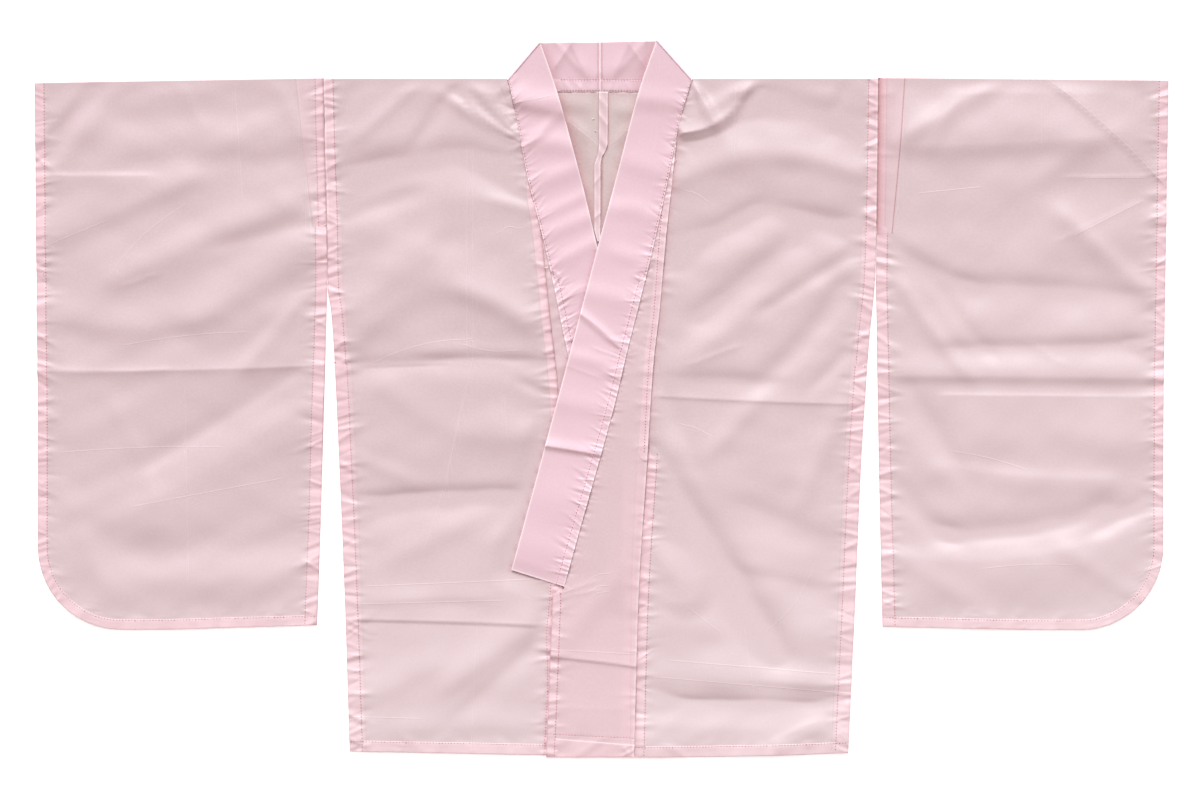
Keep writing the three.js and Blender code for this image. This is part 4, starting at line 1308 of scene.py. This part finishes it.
def bandSurface(side, x, y, fromSeam, fromTop, fromCentre):
    # the band behind the neck: puckers along its seam, facets where it is bent, a seam at the centre
    look = collarLook[side]
    rng = np.random.default_rng(look["seed"] + 7)
    top = stack["collarWall"] + 0 * x
    at = 0.0
    while at < 100:
        at += 7 * rng.uniform(0.5, 1.6)
        rise = 0.55 * rng.uniform(0.3, 1)
        lean = rng.normal(0, 0.5)
        across = (fromCentre - at - lean * fromSeam) / 2.6
        top = top + rise * np.exp(-(across**2) - (fromSeam / 14) ** 2)
    clear = smooth(np.abs(along(collarFold[side], y)) - np.abs(x), -2, 10)
    for away, middle, lean, spread, rise in zip(*bandFacets.values()):
        across = (fromCentre - away - lean * (y - middle)) / (spread * look["facetSpread"])
        top = top + rise * np.exp(-np.abs(across)) * smooth(fromSeam, 8, 30) * clear
    top = top + 0.35 * bump(fromCentre, 0, 1.2) - 0.3 * bump(fromCentre, 2.6, 1.2)
    top = top - 0.7 * np.exp(-fromSeam / 1.2) - 0.2 * bump(fromSeam, band["seamWidth"], 1.0)
    drawn = rounding(np.minimum(fromTop, 50), 0.7)
    facts = plainFacts(x.shape)
    facts["doubled"] = band["seamWidth"] - fromSeam
    facts["pink"] = np.full(x.shape, 0.15)
    # painted shade beside the collar's fold and either side of the centre seam, and painted highlights along
    # the seam edge and on the centre ridge
    fold = downPath(collarFold[side], collarFold[side]["y"][0], look["foldY"])
    besideCollar = 0.6 * np.exp(-reachOf(x, y, fold) / 6)
    facts["seam"] = np.maximum(besideCollar, 0.55 * bump(fromCentre, 2.0, 0.9))
    facts["glint"] = np.maximum(0.8 * bump(fromSeam, 0.9, 0.7), 0.6 * bump(fromCentre, 0, 0.5))
    under = np.stack([x, y, 0.2 + drawn], -1)
    return under, np.stack([x, y, np.maximum(top - drawn, 0.5 + drawn)], -1), facts


def collar(side):
    look = collarLook[side]
    sign = sideSign[side]
    seed = look["seed"]
    seamRows, foldRows = collarSeam[side], collarFold[side]
    seamY, foldY = look["seamY"], look["foldY"]
    seamTop = np.array([seamRows["x"][0], seamRows["y"][0]])
    foldTop = np.array([foldRows["x"][0], foldRows["y"][0]])
    centreFold = np.array([centreX + sign * stack["gap"] / 2, band["topY"]])
    slant = (seamTop - foldTop) / np.linalg.norm(seamTop - foldTop)
    outward = np.array([-slant[1] * sign, slant[0] * sign])
    end = straightPath([[along(seamRows, seamY), seamY], [along(foldRows, foldY), foldY]])

    def pressed(x, y):
        # the end is pressed flat
        return pressedEnd["depth"] * (1 - smooth(reachOf(x, y, end), 0, pressedEnd["reach"]))

    def top(x, y):
        overBand = (stack["collarWall"] + stack["gap"] - onBack) * cover(backNeck["y"][0] - y, 6, 22)
        return underside(side, x, y) + overBand + stack["collar"] - pressed(x, y)

    seam = downPath(seamRows, seamTop[1], seamY)
    fold = downPath(foldRows, foldTop[1], foldY)
    sewn = {"pucker": look["pucker"], "folded": False}
    # painted highlights along the fold, the end and the seam, and painted shade along the seam and, on the
    # right collar, under the left half's edge
    edgings = [
        edging(fold, glint=(0.7, 0.7), shade=None),
        edging(end, glint=(0.8, 0.8), folded=False, shade=None),
        edging(seam[:24], -sign, None, (1.2, 2.4), glint=(0.3, 0.8), shade=(0.3, 0.6), seed=seed + 2,
               **sewn),
        edging(seam[23:], -sign, (8.0, 10.0), (6.5, 9.6), tip=True, glint=(0.6, 0.8), shade=(0.2, 0.6),
               seed=seed + 3, **sewn),
    ]
    if side == "right":
        edgings.append(shadeUnder(lapEdge(), dip=0.3))
    piece = clothPiece(
        look, edgings, top,
        calm=lambda x, y: smooth(shoulderY - y, -10, 30),
        pink=lambda x, y: 0.25 * smooth(-y, -260, 0) * (1 - smooth(-y, 60, 180)),
        shows=shown[side],
    )
    width = 60
    nearSeam = [0, 0.25, 0.7, 1.5, 2.6, 4, 5.5, 7, 8, 9, 10, 12, 14]
    s = (steps(width, nearSeam, 3, [0, 0.25, 0.7, 1.5, 3]) / width)[None, :]
    length = 600
    t = (steps(length, endSteps, 1.0)[1:] / length)[:, None]
    rowSeamY = lerp(seamTop[1], seamY, t)
    rowFoldY = lerp(foldTop[1], foldY, t)
    x = lerp(along(seamRows, rowSeamY), along(foldRows, rowFoldY), s)
    y = lerp(rowSeamY, rowFoldY, s)
    z, edge, facts = surface(piece, x, y)
    upper, lower = twoFaces(x, y, z, edge, stack["collar"] - pressed(x, y))

    turnX = lerp(seamTop[0], foldTop[0], s)
    turnY = lerp(seamTop[1], foldTop[1], s)
    angles = np.radians(np.linspace(90, -90, 13))[:, None]

    def turnAt(radius):
        out = radius * np.cos(angles)
        up = collarTurn + radius * np.sin(angles) + 0 * turnX
        return np.stack([turnX + outward[0] * out, turnY + outward[1] * out, up], -1)

    w = (steps(band["reach"], endSteps, 1.4) / band["reach"])[:, None]
    bandLow = along(backNeck, np.abs(lerp(seamTop[0], centreFold[0], w)), "x", "y")
    bandHigh = lerp(foldTop[1], centreFold[1], w)
    bandX = lerp(turnX, centreFold[0], w)
    bandY = lerp(bandLow, bandHigh, s)
    fromCentre = np.abs(bandX - centreFold[0])
    fromEdges = bandY - bandLow, bandHigh - bandY, fromCentre
    under, over, bandFacts = bandSurface(side, bandX, bandY, *fromEdges)

    outer = np.concatenate([upper[::-1], turnAt(collarTurn), under])
    inner = np.concatenate([lower[::-1], turnAt(stack["gap"] / 2 + 0.4), over])
    facts = factsOver(facts, len(angles), bandFacts)
    sew("collar" + side.capitalize(), "collar_" + side, outer, inner, facts, "collar",
        ["front_" + side, "back_" + side])
    stitchPiece(piece)
    neck = {"x": backNeck["x"][:3] * sign, "y": backNeck["y"][:3]}
    for distance in band["stitchLines"]:
        path = resample(overPath(neck, sign * 1.5, sign * 52, distance, 24), band["stitchPitch"])
        stitchRows.append((path, np.full(len(path), stack["collarWall"] + 0.55), np.abs(path[:, 0]) < 47))


# stitches, one small spindle each, and the loose ends of thread
stitchCut = {"length": 1.7, "width": 0.9, "height": 0.45}
endCut = {"length": 3.0, "width": 0.55, "height": 0.4}


def spindles(name, centres, directions, cut, material):
    # a ring of four points on either side of the middle, and one point at each end
    across = np.column_stack([-directions[:, 1], directions[:, 0], np.zeros(len(directions))])
    ahead = np.column_stack([directions, np.zeros(len(directions))])
    up = np.array([0, 0, 1.0])
    half = cut["length"] / 2
    ring = [(1, 0), (0, 1), (-1, 0), (0, -1)]
    rings = [(end * half * 1.2, a, b) for end in (-0.5, 0.5) for a, b in ring]
    points = []
    for run, a, b in [(-half, 0, 0), *rings, (half, 0, 0)]:
        points.append(centres + ahead * run + across * a * cut["width"] / 2 + up * b * cut["height"] / 2)
    pairs = [(1 + k, 1 + (k + 1) % 4) for k in range(4)]
    faces = [(0, far, near) for near, far in pairs]
    faces += [(near, far, far + 4, near + 4) for near, far in pairs]
    faces += [(9, near + 4, far + 4) for near, far in pairs]
    faces = [tuple(f + len(points) * i for f in face) for i in range(len(centres)) for face in faces]
    piece = makeMesh(name, np.stack(points, 1).reshape(-1, 3), faces, material)


def makeStitches():
    centres = []
    directions = []
    for path, z, keep in stitchRows:
        ahead = np.gradient(path, axis=0)
        ahead /= np.linalg.norm(ahead, axis=1)[:, None]
        keep = np.array(keep, bool)
        centres.append(np.column_stack([path, z + 0.08])[keep])
        directions.append(ahead[keep])
    spindles("stitches", np.concatenate(centres), np.concatenate(directions), stitchCut, materials["thread"])
    print("stitches:", sum(len(c) for c in centres))


# knots and loose ends: place, which thread, how many ends, their length, and a height where no seam is near
knots = [
    (83.4, 267, "whiteThread", 2, 3.0, None), (81.2, 275, "whiteThread", 2, 2.6, None),
    (-62.2, 146, "whiteThread", 4, 4.5, None), (-37.5, 58.8, "whiteThread", 2, 2.6, None),
    (306.6, 184, "whiteThread", 3, 3.5, None), (-308.5, 194, "whiteThread", 3, 3.5, None),
    (-299.0, 40, "thread", 2, 3.0, None), (295.1, 36.6, "whiteThread", 4, 4.5, None),
    (-45.9, -218.4, "thread", 3, 2.2, None), (-624, 138, "thread", 2, 3.0, None),
    (624.4, 94.6, "thread", 2, 3.0, None), (-9.5, 313, "whiteThread", 3, 3.0, 1.2),
    (-7.6, 299.6, "whiteThread", 3, 2.6, 1.2),
]


def makeKnots():
    rng = np.random.default_rng(131)
    sewn = np.concatenate([np.column_stack([path, z]) for path, z, keep in stitchRows])
    found = {"thread": [], "whiteThread": []}
    for x, y, material, ends, length, height in knots:
        if height is None:
            height = sewn[np.argmin(np.hypot(sewn[:, 0] - x, sewn[:, 1] - y)), 2] + 0.15
        for _ in range(ends):
            angle = rng.uniform(0, 2 * math.pi)
            ahead = np.array([math.cos(angle), math.sin(angle)])
            middle = np.array([x, y]) + ahead * length * rng.uniform(0.05, 0.35)
            found[material].append((*middle, height + 0.1 * rng.uniform(0, 1), *ahead))
    for material, ends in found.items():
        ends = np.array(ends)
        spindles(material + "Ends", ends[:, :3], ends[:, 3:], endCut, materials[material])
    print("knots:", len(knots))


for side in ("right", "left"):
    back(side)
seamAllowance()
for side in ("right", "left"):
    front(side)
    strip(side)
    collar(side)
for side in ("left", "right"):
    sleeve(side)
makeStitches()
makeKnots()
